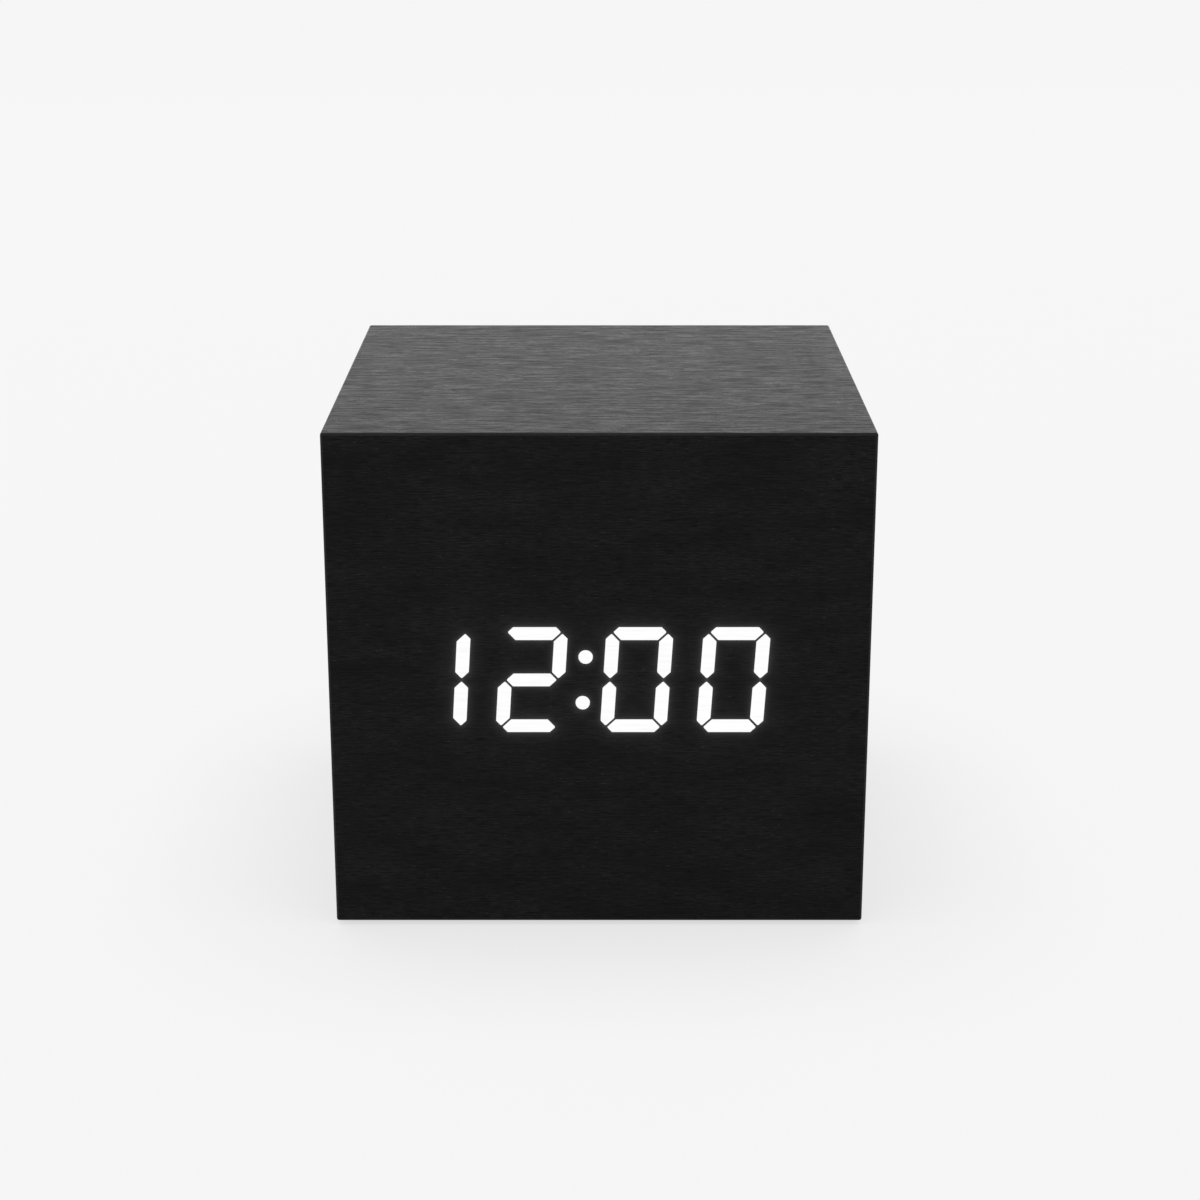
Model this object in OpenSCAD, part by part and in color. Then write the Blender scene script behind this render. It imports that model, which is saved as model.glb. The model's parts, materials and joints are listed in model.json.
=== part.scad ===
// Cube alarm clock: fibreboard panels folded into a case under a black grain film,
// with white digits that shine through the front, buttons in the back and a battery bay below.
// X runs to the right, Y to the back and Z up. The origin is on the table, under the middle of the case.
// All lengths are in millimetres.

/* [Case] */
// Width of the case
case_w = 65; // [58.5:0.5:90]
// Depth of the case, front to back
case_d = 65; // [58.5:0.5:90]
// Height of the case without its feet
case_h = 62; // [55.5:0.5:90]
// Thickness of the fibreboard panels
panel_t = 4; // [3.6:0.1:6]
// Thickness of the grain film
film_t = 0.3; // [0.2:0.05:0.5]
// Radius of the outer edges
edge_r = 0.5; // [0.2:0.05:0.9]

/* [Feet] */
// Diameter of a foot
foot_d = 8; // [5:0.5:10]
// Height of a foot
foot_h = 0.6; // [0.4:0.1:3]
// From the side of the case to the middle of a foot
foot_inset = 6.2; // [5.2:0.1:7]

/* [Digits] */
// Hours shown
hours = 12; // [0:1:23]
// Minutes shown
minutes = 0; // [0:1:59]
// Height of a digit
digit_h = 13.3; // [11:0.1:15]
// Width of a digit, before its slant
digit_w = 8; // [7:0.1:8.6]
// Thickness of a bar
bar_t = 1.6; // [1.2:0.02:2]
// Half of the gap between two bars, along the digit's sides
bar_gap = 0.2; // [0.12:0.01:0.3]
// Radius of a bar's corners
bar_r = 0.15; // [0.05:0.01:0.3]
// Cut across the corners of a digit
corner_cut = 1.45; // [0.8:0.05:2]
// Slant of the digits in degrees
digit_slant = 3.5; // [0:0.5:8]
// From one digit to the next
digit_pitch = 11.6; // [10.6:0.1:12]
// From the second digit to the third, across the colon
colon_pitch = 12.6; // [12:0.1:13.4]
// Diameter of a colon dot
dot_d = 1.7; // [1.5:0.05:2]
// Height of a colon dot above or below the middle
dot_rise = 2.9; // [2:0.1:4.5]
// Diameter of the alarm dot
alarm_d = 1.5; // [1.4:0.05:2]
// From the last digit to the far side of the alarm dot
alarm_room = 3.6; // [2.6:0.1:4.4]
// How far the digits sit to the right of the case's middle
display_shift = -1.8; // [-2.4:0.1:0]
// How far the digits sit above the case's middle
display_raise = 0.6; // [0:0.1:1.5]

/* [Display block] */
// Wall of the reflector beside the digits
reflector_rim = 0.5; // [0.4:0.1:1.4]
// Wall of the reflector above and below the digits
reflector_lap = 1.7; // [1.5:0.1:2.6]
// How far a light plug reaches into the reflector
plug_depth = 2.5; // [1.5:0.1:2.8]
// Side of an LED chip
led_w = 1; // [0.6:0.1:1]
// Height of an LED chip
led_h = 0.7; // [0.4:0.1:0.8]
// Diameter of the reflector's pegs
peg_d = 1; // [0.8:0.1:1.3]
// How far the display board reaches above and below the reflector
board_lap = 4.3; // [4:0.1:5.6]
// How far the display board reaches beyond the reflector's sides
board_rim = 0.1; // [0:0.1:2]
// Thickness of both circuit boards
board_t = 1.6; // [1:0.1:2]

/* [Rear plate] */
// Width of the main board
main_w = 42; // [41:0.5:48]
// Height of the main board
main_h = 26; // [25.5:0.5:31.5]
// Room round the main board in the hole of the back panel
main_room = 1; // [0.5:0.1:1.4]
// Width of the plate's rim round that hole
plate_rim = 5; // [4.6:0.1:5.2]
// Thickness of the plate's rim
plate_t = 1.5; // [1.3:0.1:2]
// Radius of the plate's corners
plate_r = 2.5; // [1.5:0.1:2.6]
// Depth of the plate's dish
dish_depth = 1; // [0.8:0.1:1.4]
// Wall round the dish, inside the hole
dish_wall = 1.6; // [1:0.1:2.4]
// Thickness of the dish's floor
floor_t = 1.5; // [1.2:0.1:2]
// From the dish's floor to the main board
standoff = 7; // [6.8:0.1:9]
// Diameter of a boss under the main board
boss_d = 4; // [3.4:0.1:4.4]
// How far the plate sits above the case's middle
plate_raise = 1.5; // [1:0.1:3]

/* [Rear controls] */
// Diameter of a button
button_d = 6; // [5:0.1:7]
// From one button to the next
button_pitch = 11; // [10.5:0.5:12]
// Height of the button row above the plate's middle
button_rise = 7; // [6.5:0.1:7.5]
// How far a button stands out of the dish
button_proud = 0.8; // [0.5:0.1:1]
// Travel of a button
button_travel = 0.3; // [0.2:0.05:0.5]
// Width of a button's inner collar
collar_w = 0.8; // [0.6:0.1:1]
// Thickness of a button's inner collar
collar_t = 1; // [0.6:0.1:1.2]
// Side of a button's switch
tact_w = 6; // [5:0.1:6.4]
// Height of a button's switch
tact_h = 3.5; // [3:0.1:4]
// Diameter of a switch's plunger
plunger_d = 3.4; // [2.6:0.1:3.6]
// How far the lower row sits below the plate's middle
row_drop = 6.5; // [6.2:0.1:7.2]
// Place of the power inlet across the plate
usb_x = -12.5; // [-13.5:0.1:-11.5]
// Width of the power inlet
usb_w = 7.5; // [7:0.1:8]
// Height of the power inlet
usb_h = 2.8; // [2.6:0.1:3.2]
// Sheet thickness of the power inlet
usb_t = 0.3; // [0.2:0.05:0.35]
// Place of the slide switch across the plate
slider_x = 12.5; // [12:0.1:13]
// Side of the slide switch's knob
knob_w = 2; // [1.6:0.1:2.4]
// Travel of the slide switch
knob_travel = 2; // [1.5:0.1:2.4]
// How far the knob stands out of the dish
knob_proud = 0.7; // [0.5:0.1:1]
// Diameter of the buzzer
buzzer_d = 9.5; // [8:0.5:11]
// Height of the buzzer
buzzer_h = 6.2; // [5:0.1:6.4]
// Diameter of a sound hole
sound_hole_d = 1.2; // [0.8:0.1:1.6]
// Diameter of the microphone
mic_d = 6; // [4:0.1:6.4]
// Length of the microphone
mic_l = 2.7; // [2:0.1:3.5]

/* [Inner cable and leads] */
// Width of the ribbon cable
ribbon_w = 8; // [6:0.5:9]
// Thickness of the ribbon cable
ribbon_t = 0.3; // [0.2:0.05:0.5]
// How far the ribbon cable sags
ribbon_sag = 3; // [0:0.5:4]
// Diameter of a battery lead
lead_d = 1; // [0.8:0.1:1.4]

/* [Battery bay] */
// Diameter of a battery cell
cell_d = 10.5; // [9.8:0.1:10.9]
// Length of a battery cell with its nub
cell_l = 44.5; // [42:0.1:45.5]
// Diameter of a cell's nub
nub_d = 3.8; // [3:0.1:5]
// Length of a cell's nub
nub_l = 1; // [0.8:0.1:1.6]
// Room round each cell
cell_room = 0.5; // [0.3:0.1:0.7]
// Wall of the battery box
box_wall = 0.8; // [0.7:0.1:1.6]
// Width of the box's rim round its door
box_rim = 1.6; // [1.4:0.1:3]
// Thickness of the box's rim above its door
rim_t = 0.7; // [0.6:0.1:1.4]
// Length of a contact spring at work
spring_l = 2.8; // [2.5:0.1:5]
// Wire of a contact spring
spring_wire = 0.5; // [0.4:0.05:0.6]
// Diameter of a contact spring at its foot
spring_d = 7.4; // [6:0.1:8]
// Diameter of a contact spring at its tip
spring_tip_d = 4.4; // [4:0.1:5]
// Turns of a contact spring
spring_turns = 2.5; // [1.5:0.5:3]
// Sheet thickness of the contact plates
contact_t = 0.3; // [0.25:0.05:0.6]
// Height of the contact plates
contact_h = 7; // [6:0.1:7.4]
// Thickness of the door
door_t = 1.8; // [1.6:0.1:2.4]
// How far the door laps over the box's walls
door_lap = 0.7; // [0.5:0.05:1]
// Diameter of the door's hinge pins
pin_d = 1; // [0.8:0.1:1.2]
// Length of the door's hinge pins
pin_l = 1.2; // [1:0.1:1.6]
// Height of the door's latch
latch_h = 1.4; // [1:0.1:1.6]
// Width of the door's latch
latch_w = 8; // [5:0.5:10]

/* [Screws] */
// Shank of a screw
screw_d = 2; // [1.6:0.1:2.2]
// Head of a screw
screw_head_d = 3.6; // [3:0.1:3.8]
// Height of a screw's head
screw_head_h = 1; // [0.8:0.1:1.2]

/* [Fits] */
// Gap beside a piece that slides
slide_gap = 0.1; // [0.05:0.01:0.2]
// Gap round a piece that is set in a hole
seat_gap = 0.1; // [0.05:0.01:0.2]
// Gap round a hinge pin
pin_gap = 0.05; // [0.02:0.01:0.1]
// Gap round a light plug
light_gap = 0.02; // [0.01:0.01:0.04]
// Gap round the battery door
door_gap = 0.25; // [0.15:0.05:0.4]

/* [Hidden] */
$fn = 64;

// How far a cut runs past the face that it opens
cut = 0.5;

// Planes of the case
case_z = foot_h;
case_top = case_z + case_h;
case_mid = case_z + case_h / 2;
front_y = -case_d / 2;
back_y = case_d / 2;
core_w = case_w - 2 * film_t;
core_d = case_d - 2 * film_t;
core_h = case_h - 2 * film_t;
film_in_y = front_y + film_t;
seat_y = film_in_y + panel_t;
back_core_y = back_y - film_t;
corner_r = min(edge_r, 3 * film_t);

// Display: its block of digits, its board and what lies on it
display_z = case_mid + display_raise;
half_w = digit_w / 2;
half_h = digit_h / 2;
slant = tan(digit_slant);
bar_facets = 16;
digits_half = colon_pitch / 2 + digit_pitch + half_w + half_h * slant;
alarm_x = display_shift + digits_half + alarm_room - alarm_d / 2;
block_x0 = display_shift - digits_half - reflector_rim;
block_x1 = display_shift + digits_half + alarm_room + reflector_rim;
block_h = digit_h + 2 * reflector_lap;
board_x0 = block_x0 - board_rim;
board_x1 = block_x1 + board_rim;
board_h = block_h + 2 * board_lap;
board_back_y = seat_y + board_t;
display_screw_inset = 3;
display_screw_z = block_h / 2 + board_lap / 2;
screw_stop = 1;
peg_l = board_t - seat_gap;
driver_l = 18;
driver_w = 7.5;
driver_h = 2.4;
driver_x = -6;
driver_rise = 1;
driver_legs = 14;
peg_x = [block_x0 + reflector_rim + peg_d / 2, block_x1 - reflector_rim - peg_d / 2];
peg_z = (half_h + block_h / 2) / 2;

// Bars that each figure lights
FIGURES = ["abcdef", "bc", "abdeg", "abcdg", "bcfg", "acdfg", "acdefg", "abc", "abcdefg", "abcdfg"];
BARS = "abcdefg";
shown = [floor(hours / 10), floor(hours) % 10, floor(minutes / 10), floor(minutes) % 10];
digit_x = [
    display_shift - colon_pitch / 2 - digit_pitch,
    display_shift - colon_pitch / 2,
    display_shift + colon_pitch / 2,
    display_shift + colon_pitch / 2 + digit_pitch,
];

// Legs of a chip
leg_pitch = 1.27;
leg_w = 0.4;
leg_t = 0.2;
leg_l = 1;
chip_lift = 0.15;

// Cross recess of a screw
recess_l = 2.2;
recess_w = 0.5;

// Rear plate: the hole that it fills, its dish and the main board behind it
plate_z = case_mid + plate_raise;
hole_w = main_w + 2 * main_room;
hole_h = main_h + 2 * main_room;
hole_r = 2;
least_r = 0.4;
plate_w = hole_w + 2 * plate_rim;
plate_h = hole_h + 2 * plate_rim;
plate_seat_y = back_y - plate_t;
dish_y = back_y - dish_depth;
floor_y = dish_y - floor_t;
main_out_y = floor_y - standoff;
main_in_y = main_out_y - board_t;
boss_inset = 2.5;
boss_x = main_w / 2 - boss_inset;
boss_z = main_h / 2 - boss_inset;
boss_end = 1;
plate_screw_x = (hole_w + plate_rim) / 2;
plate_screw_z = (hole_h + plate_rim) / 2;
head_sink = screw_head_h + seat_gap;

// Buttons, from the dish inwards to the plungers of their switches
collar_y = floor_y - slide_gap / 2;
stem_d = plunger_d;
plunger_proud = 1.2;
plunger_top_y = main_out_y + tact_h + plunger_proud;
plunger_foot_y = main_out_y + tact_h / 2;
plunger_room = 0.3;
face_cut = 0.4;
button_z = plate_z + button_rise;
function button_x(i) = (i - 1) * button_pitch;

// Lower row: inlet, buzzer and slide switch
row_z = plate_z - row_drop;
usb_block_l = 3;
usb_room = 0.3;
tongue_w = 4.4;
tongue_t = 0.6;
tongue_rise = 0.1;
tongue_short = 0.6;
slider_end = 2;
slider_rim = 0.9;
slider_l = knob_w + knob_travel + 2 * slider_end;
slider_w = knob_w + 2 * slider_rim;
slider_h = 3.5;
slider_depth = 2;
knob_groove_w = 0.2;
knob_groove_pitch = 0.5;
knob_x = slider_x - knob_travel / 2;
sound_ring = 2.6;
buzzer_mouth_d = 2;
buzzer_mouth_l = 1.5;
mic_inset = 5.5;
mic_drop = 0.5;
mic_x = main_w / 2 - mic_inset;
mic_z = plate_z - mic_drop;
mic_collar_t = 0.8;
mic_collar_l = 2;
mic_leg_d = 0.5;
mic_leg_x = 1.27;

// Parts on the inner side of the main board
control_l = 10;
control_w = 4;
control_h = 1.75;
control_x = 11.5;
control_inset = 7;
control_legs = 8;
crystal_d = 2;
crystal_l = 6;
crystal_x = 9;
crystal_leg_t = 0.3;
crystal_leg_l = 1.5;
crystal_lift = 0.1;
capacitor_d = 5;
capacitor_l = 7;
capacitor_x = -14;
capacitor_drop = 3;
vent_l = 3.6;
vent_w = 0.3;
vent_depth = 0.2;

// Cable between the two boards
socket_end = 1.5;
socket_l = ribbon_w + 2 * socket_end;
socket_w = 3;
socket_h = 4;
socket_depth = 2.5;
socket_x = 11;
display_socket_drop = 6;
main_socket_rise = 6;
display_socket_z = display_z - display_socket_drop;
main_socket_z = plate_z - main_h / 2 + main_socket_rise;
ribbon_y0 = board_back_y + socket_h - socket_depth + seat_gap;
ribbon_y1 = main_in_y - socket_h + socket_depth - seat_gap;
ribbon_lead = 0.5;
ribbon_straight = socket_depth + ribbon_lead;
ribbon_steps = 20;

// Battery bay, from its door upwards
cell_pitch = cell_d + cell_room;
bay_w = 3 * cell_pitch;
bay_l = cell_l + spring_l + 2 * contact_t;
door_w = bay_w + 2 * door_lap;
door_l = bay_l + 2 * door_lap;
pocket_w = door_w + 2 * door_gap;
pocket_l = door_l + 2 * door_gap;
pocket_top = case_z + door_t + slide_gap / 2;
rim_top = pocket_top + rim_t;
rim_w = pocket_w + 2 * box_rim;
rim_l = pocket_l + 2 * box_rim;
rim_r = 1.5;
box_w = bay_w + 2 * box_wall;
box_l = bay_l + 2 * box_wall;
cell_lift = 0.3;
cell_z = pocket_top + cell_lift + cell_d / 2;
bay_top = cell_z + cell_d / 2 + cell_room / 2;
box_top = bay_top + box_wall;
rib_w = 1;
rib_h = 2.4;
rib_end = 6;
hinge_y = door_t / 2 - door_l / 2;
hinge_z = case_z + door_t / 2;
latch_t = 0.8;
latch_y = door_l / 2 - latch_t - door_gap / 2;
scoop_r = 4.5;
scoop_edge = 0.8;
scoop_depth = 1.3;
groove_l = 12;
groove_w = 0.8;
groove_depth = 0.4;
groove_pitch = 1.8;
groove_inset = 3.5;
contact_y = bay_l / 2 - contact_t;
contact_side = 0.5;
contact_w = cell_d - 2 * contact_side;
tab_w = 3;
tab_h = 1.1;
tab_top = box_top + tab_h;
lead_lift = 0.2;
lead_z = box_top + lead_d / 2 + lead_lift;
lead_start = 2;
lead_bend = 1.5;
lead_turn = 4.5;
pad_x = 6;
pad_rise = 1.4;
pad_z = plate_z - main_h / 2 + pad_rise;

// Shapes drawn flat and given a thickness along one axis
module slab_x(x0, x1) translate([x0, 0, 0]) rotate([90, 0, 90]) linear_extrude(x1 - x0) children();
module slab_y(y0, y1) translate([0, y1, 0]) rotate([90, 0, 0]) linear_extrude(y1 - y0) children();
module slab_z(z0, z1) translate([0, 0, z0]) linear_extrude(z1 - z0) children();

module rod_x(y, z, x0, x1, d) translate([x0, y, z]) rotate([0, 90, 0]) cylinder(h = x1 - x0, d = d);
module rod_y(x, z, y0, y1, d) translate([x, y1, z]) rotate([90, 0, 0]) cylinder(h = y1 - y0, d = d);

// A rectangle about the origin with round corners
module round_rect(w, h, r) {
    square([w - 2 * r, h], center = true);
    square([w, h - 2 * r], center = true);
    for (sx = [-1, 1], sy = [-1, 1])
        translate([sx * (w / 2 - r), sy * (h / 2 - r)])
            circle(r);
}

// A panel below the plane z = 0, whose edges slope in at 45 degrees to meet its neighbours
module mitred_panel(w, h)
    intersection() {
        slab_x(-w / 2, w / 2)
            polygon([[-h / 2, 0], [h / 2, 0], [h / 2 - panel_t, -panel_t], [panel_t - h / 2, -panel_t]]);
        slab_y(-h / 2, h / 2)
            polygon([[-w / 2, 0], [w / 2, 0], [w / 2 - panel_t, -panel_t], [panel_t - w / 2, -panel_t]]);
    }

// A screw that points down, with its head standing on the plane z = 0
module screw(shank_l)
    difference() {
        union() {
            cylinder(h = screw_head_h, d = screw_head_d);
            translate([0, 0, -shank_l])
                cylinder(h = shank_l + screw_head_h / 2, d = screw_d);
        }
        for (turn = [0, 90])
            rotate(turn)
                translate([0, 0, screw_head_h])
                    cube([recess_l, recess_w, screw_head_h], center = true);
    }

// A chip with a row of legs along each long side, standing on the plane z = 0
module chip(l, w, h, legs) {
    translate([-l / 2, -w / 2, chip_lift])
        cube([l, w, h - chip_lift]);
    for (side = [0, 1], i = [1:legs])
        mirror([0, side, 0])
            translate([(i - (legs + 1) / 2) * leg_pitch - leg_w / 2, w / 2, 0]) {
                translate([0, -leg_t, h / 2])
                    cube([leg_w, leg_l + leg_t, leg_t]);
                translate([0, leg_l - leg_t, 0])
                    cube([leg_w, leg_t, h / 2 + leg_t]);
            }
}

// A cable socket on the plane z = 0, with its slot on top
module cable_socket()
    difference() {
        translate([-socket_l / 2, -socket_w / 2, 0])
            cube([socket_l, socket_w, socket_h]);
        translate([0, 0, socket_h])
            cube([ribbon_w + 2 * seat_gap, ribbon_t + 2 * seat_gap, 2 * socket_depth], center = true);
    }

// Outlines of the bars of a digit, grown by a gap: a is on top, then clockwise to f, and g is in the middle
function top_bar(e) =
    let (a = half_w + e, b = half_h + e, t = bar_t + 2 * e)
    let (c = corner_cut + e * (2 - sqrt(2)), g = bar_gap - e * sqrt(2))
    [[t + g - a, b - t], [(c + g) / 2 - a, b - (c - g) / 2], [c - a, b],
     [a - c, b], [a - (c + g) / 2, b - (c - g) / 2], [a - t - g, b - t]];
function side_bar(e) =
    let (a = half_w + e, b = half_h + e, t = bar_t + 2 * e)
    let (c = corner_cut + e * (2 - sqrt(2)), g = bar_gap - e * sqrt(2))
    [[a - t, b - t - g], [a - (c - g) / 2, b - (c + g) / 2], [a, b - c],
     [a, t / 2 + g], [a - t / 2, g], [a - t, t / 2 + g]];
function middle_bar(e) =
    let (a = half_w + e, t = bar_t + 2 * e, g = bar_gap - e * sqrt(2))
    [[t / 2 + g - a, 0], [t + g - a, t / 2], [a - t - g, t / 2],
     [a - t / 2 - g, 0], [a - t - g, -t / 2], [t + g - a, -t / 2]];
function flipped(points, sx, sy) = [for (p = points) [sx * p[0], sy * p[1]]];
function bar(name, e) =
    name == "a" ? top_bar(e) :
    name == "b" ? side_bar(e) :
    name == "c" ? flipped(side_bar(e), 1, -1) :
    name == "d" ? flipped(top_bar(e), 1, -1) :
    name == "e" ? flipped(side_bar(e), -1, -1) :
    name == "f" ? flipped(side_bar(e), -1, 1) :
    middle_bar(e);
function slanted(points) = [for (p = points) [p[0] + p[1] * slant, p[1]]];
function middle(points) =
    [for (k = [0, 1]) (min([for (p = points) p[k]]) + max([for (p = points) p[k]])) / 2];
function lights(i, name) = len(search(name, FIGURES[shown[i]])) > 0;

module bar_shape(i, name, e)
    translate([digit_x[i], display_z])
        offset(r = bar_r, $fn = bar_facets)
            offset(delta = -bar_r)
                polygon(slanted(bar(name, e)));
module colon_dot(side, e)
    translate([display_shift + side * dot_rise * slant, display_z + side * dot_rise])
        circle(d = dot_d + 2 * e);
module alarm_dot(e) translate([alarm_x, display_z - half_h + alarm_d / 2]) circle(d = alarm_d + 2 * e);

// The bars and dots that are on, or off, between two Y planes
module lit_shapes(y0, y1, e) {
    for (i = [0:3], name = BARS)
        if (lights(i, name))
            slab_y(y0, y1) bar_shape(i, name, e);
    for (side = [-1, 1])
        slab_y(y0, y1) colon_dot(side, e);
}
module unlit_shapes(y0, y1, e) {
    for (i = [0:3], name = BARS)
        if (!lights(i, name))
            slab_y(y0, y1) bar_shape(i, name, e);
    slab_y(y0, y1) alarm_dot(e);
}

module block_outline(grow)
    translate([block_x0 - grow, display_z - block_h / 2 - grow])
        square([block_x1 - block_x0 + 2 * grow, block_h + 2 * grow]);
module at_display_screws()
    for (x = [block_x0 + display_screw_inset, block_x1 - display_screw_inset], side = [-1, 1])
        translate([x, 0, display_z + side * display_screw_z])
            children();

module at_plate_screws()
    for (sx = [-1, 1], sz = [-1, 1])
        translate([sx * plate_screw_x, 0, plate_z + sz * plate_screw_z])
            children();
module at_bosses()
    for (sx = [-1, 1], sz = [-1, 1])
        translate([sx * boss_x, 0, plate_z + sz * boss_z])
            children();
module plate_outline(grow)
    translate([0, plate_z])
        round_rect(plate_w + 2 * grow, plate_h + 2 * grow, plate_r + grow);
module hole_outline(inset)
    translate([0, plate_z])
        round_rect(hole_w - 2 * inset, hole_h - 2 * inset, max(hole_r - inset, least_r));
module usb_outline(grow) {
    w = usb_w / 2 + grow;
    h = usb_h / 2 + grow;
    translate([usb_x, row_z])
        polygon([[-w, h], [w, h], [w, -h / 4], [w - h * 0.75, -h], [h * 0.75 - w, -h], [-w, -h / 4]]);
}
module rim_outline(grow) round_rect(rim_w + 2 * grow, rim_l + 2 * grow, rim_r + grow);

// Tubes swept along a list of points, with rings turned by a fixed direction
function unit(v) = v / norm(v);
function along(points, i) = unit(points[min(i + 1, len(points) - 1)] - points[max(i - 1, 0)]);
function ring(p, t, up, r, sides) =
    let (u = unit(cross(t, up)), v = cross(u, t))
    [for (k = [0:sides - 1]) p + r * (cos(360 * k / sides) * u + sin(360 * k / sides) * v)];
function eased(p, i, u) =
    let (a = p[max(i - 1, 0)], b = p[i], c = p[i + 1], d = p[min(i + 2, len(p) - 1)])
    b + u / 2 * (c - a + u * (2 * a - 5 * b + 4 * c - d + u * (3 * b - a - 3 * c + d)));
function smooth(p, steps) =
    concat([for (i = [0:len(p) - 2], k = [0:steps - 1]) eased(p, i, k / steps)], [p[len(p) - 1]]);
module tube(points, up, d, sides) {
    n = len(points);
    polyhedron(
        [for (i = [0:n - 1]) each ring(points[i], along(points, i), up, d / 2, sides)],
        concat(
            [for (k = [1:sides - 2]) [0, k, k + 1]],
            [for (k = [1:sides - 2]) (n - 1) * sides * [1, 1, 1] + [0, k + 1, k]],
            [for (i = [0:n - 2], k = [0:sides - 1])
                let (a = i * sides + k, b = i * sides + (k + 1) % sides)
                each [[a, a + sides, b + sides], [a, b + sides, b]]]));
}

// Turns of a contact spring from its foot at y = 0 to its tip, and how close they come to each other
spring_rings = 10;
spring_foot = spring_wire / 2 + seat_gap / 2;
function spring_points() =
    let (n = ceil(spring_turns * spring_rings))
    [for (i = [0:n])
        let (u = i / n, r = (spring_d + (spring_tip_d - spring_d) * u) / 2 - spring_wire / 2)
        [r * cos(360 * spring_turns * u),
         spring_foot + (spring_l - 2 * spring_foot) * u,
         r * sin(360 * spring_turns * u)]];
function least_gap(points, apart) =
    min([for (i = [0:len(points) - 1 - apart], j = [i + apart:len(points) - 1]) norm(points[i] - points[j])]);
echo(least_spring_gap = least_gap(spring_points(), spring_rings / 2) - spring_wire);

// Case
module grain_film()
    color("#1b1b1c") difference() {
        translate([0, 0, case_mid])
            intersection() {
                slab_x(-case_w / 2, case_w / 2) round_rect(case_d, case_h, corner_r);
                slab_y(front_y, back_y) round_rect(case_w, case_h, corner_r);
                slab_z(-case_h / 2, case_h / 2) round_rect(case_w, case_d, corner_r);
            }
        translate([0, 0, case_mid])
            cube([core_w, core_d, core_h], center = true);
        lit_shapes(front_y - cut, film_in_y + cut, light_gap);
        slab_y(back_core_y - cut, back_y + cut) plate_outline(seat_gap);
        slab_z(case_z - cut, case_z + film_t + cut) rim_outline(seat_gap);
    }

module front_core()
    color("#b08d62") difference() {
        translate([0, film_in_y, case_mid])
            rotate([90, 0, 0])
                mitred_panel(core_w, core_h);
        slab_y(film_in_y - cut, seat_y + cut) block_outline(seat_gap);
        at_display_screws()
            rod_y(0, 0, film_in_y + screw_stop / 2, seat_y + cut, screw_d + 2 * light_gap);
    }

module back_core()
    color("#b08d62") difference() {
        translate([0, back_core_y, case_mid])
            rotate([-90, 0, 0])
                mitred_panel(core_w, core_h);
        slab_y(plate_seat_y, back_y + cut) plate_outline(seat_gap);
        slab_y(back_core_y - panel_t - cut, back_y) hole_outline(0);
        at_plate_screws()
            rod_y(0, 0, back_core_y - panel_t - cut, back_y, screw_d + 2 * light_gap);
    }

module top_core()
    color("#b08d62")
        translate([0, 0, case_top - film_t])
            mitred_panel(core_w, core_d);

module bottom_core()
    color("#b08d62") difference() {
        translate([0, 0, case_z + film_t])
            rotate([180, 0, 0])
                mitred_panel(core_w, core_d);
        slab_z(case_z - cut, rim_top) rim_outline(seat_gap);
        slab_z(case_z - cut, case_z + film_t + panel_t + cut)
            square([box_w + 2 * seat_gap, box_l + 2 * seat_gap], center = true);
    }

module left_core()
    color("#b08d62")
        translate([-core_w / 2, 0, case_mid])
            rotate([0, -90, 0])
                mitred_panel(core_h, core_d);

module right_core()
    color("#b08d62")
        translate([core_w / 2, 0, case_mid])
            rotate([0, 90, 0])
                mitred_panel(core_h, core_d);

module feet()
    color("#202020")
        for (sx = [-1, 1], sy = [-1, 1])
            translate([sx * (case_w / 2 - foot_inset), sy * (case_d / 2 - foot_inset), 0])
                cylinder(h = foot_h, d = foot_d);

// Display
module lit_segments() color("#ffffff") lit_shapes(front_y, film_in_y + plug_depth, 0);

module unlit_segments() color("#d8d8d4") unlit_shapes(film_in_y, film_in_y + plug_depth, 0);

module segment_reflector()
    color("#1c1c1c") difference() {
        union() {
            slab_y(film_in_y, seat_y) block_outline(0);
            for (x = peg_x, side = [-1, 1])
                rod_y(x, display_z + side * peg_z, seat_y - cut, seat_y + peg_l, peg_d);
        }
        lit_shapes(film_in_y - cut, seat_y + cut, light_gap);
        unlit_shapes(film_in_y - cut, seat_y + cut, light_gap);
    }

module led_chips()
    color("#f2e6a0") {
        for (i = [0:3], name = BARS) {
            m = middle(slanted(bar(name, 0)));
            translate([digit_x[i] + m[0] - led_w / 2, seat_y - led_h, display_z + m[1] - led_w / 2])
                cube([led_w, led_h, led_w]);
        }
        for (side = [-1, 1])
            translate([display_shift + side * dot_rise * slant - led_w / 2, seat_y - led_h,
                       display_z + side * dot_rise - led_w / 2])
                cube([led_w, led_h, led_w]);
        translate([alarm_x - led_w / 2, seat_y - led_h, display_z - half_h + alarm_d / 2 - led_w / 2])
            cube([led_w, led_h, led_w]);
    }

module display_board()
    color("#1f5a3a") difference() {
        slab_y(seat_y, board_back_y)
            translate([board_x0, display_z - board_h / 2])
                square([board_x1 - board_x0, board_h]);
        for (x = peg_x, side = [-1, 1])
            rod_y(x, display_z + side * peg_z, seat_y - cut, board_back_y + cut, peg_d + 2 * seat_gap);
        at_display_screws()
            rod_y(0, 0, seat_y - cut, board_back_y + cut, screw_d + 2 * seat_gap);
    }

module display_screws()
    color("#b8b8b8")
        at_display_screws()
            translate([0, board_back_y, 0])
                rotate([-90, 0, 0])
                    screw(board_t + panel_t - screw_stop);

module display_driver()
    color("#262626")
        translate([driver_x, board_back_y, display_z + driver_rise])
            rotate([-90, 0, 0])
                chip(driver_l, driver_w, driver_h, driver_legs);

module display_socket()
    color("#e8e2d0")
        translate([socket_x, board_back_y, display_socket_z])
            rotate([-90, 0, 0])
                cable_socket();

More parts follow.
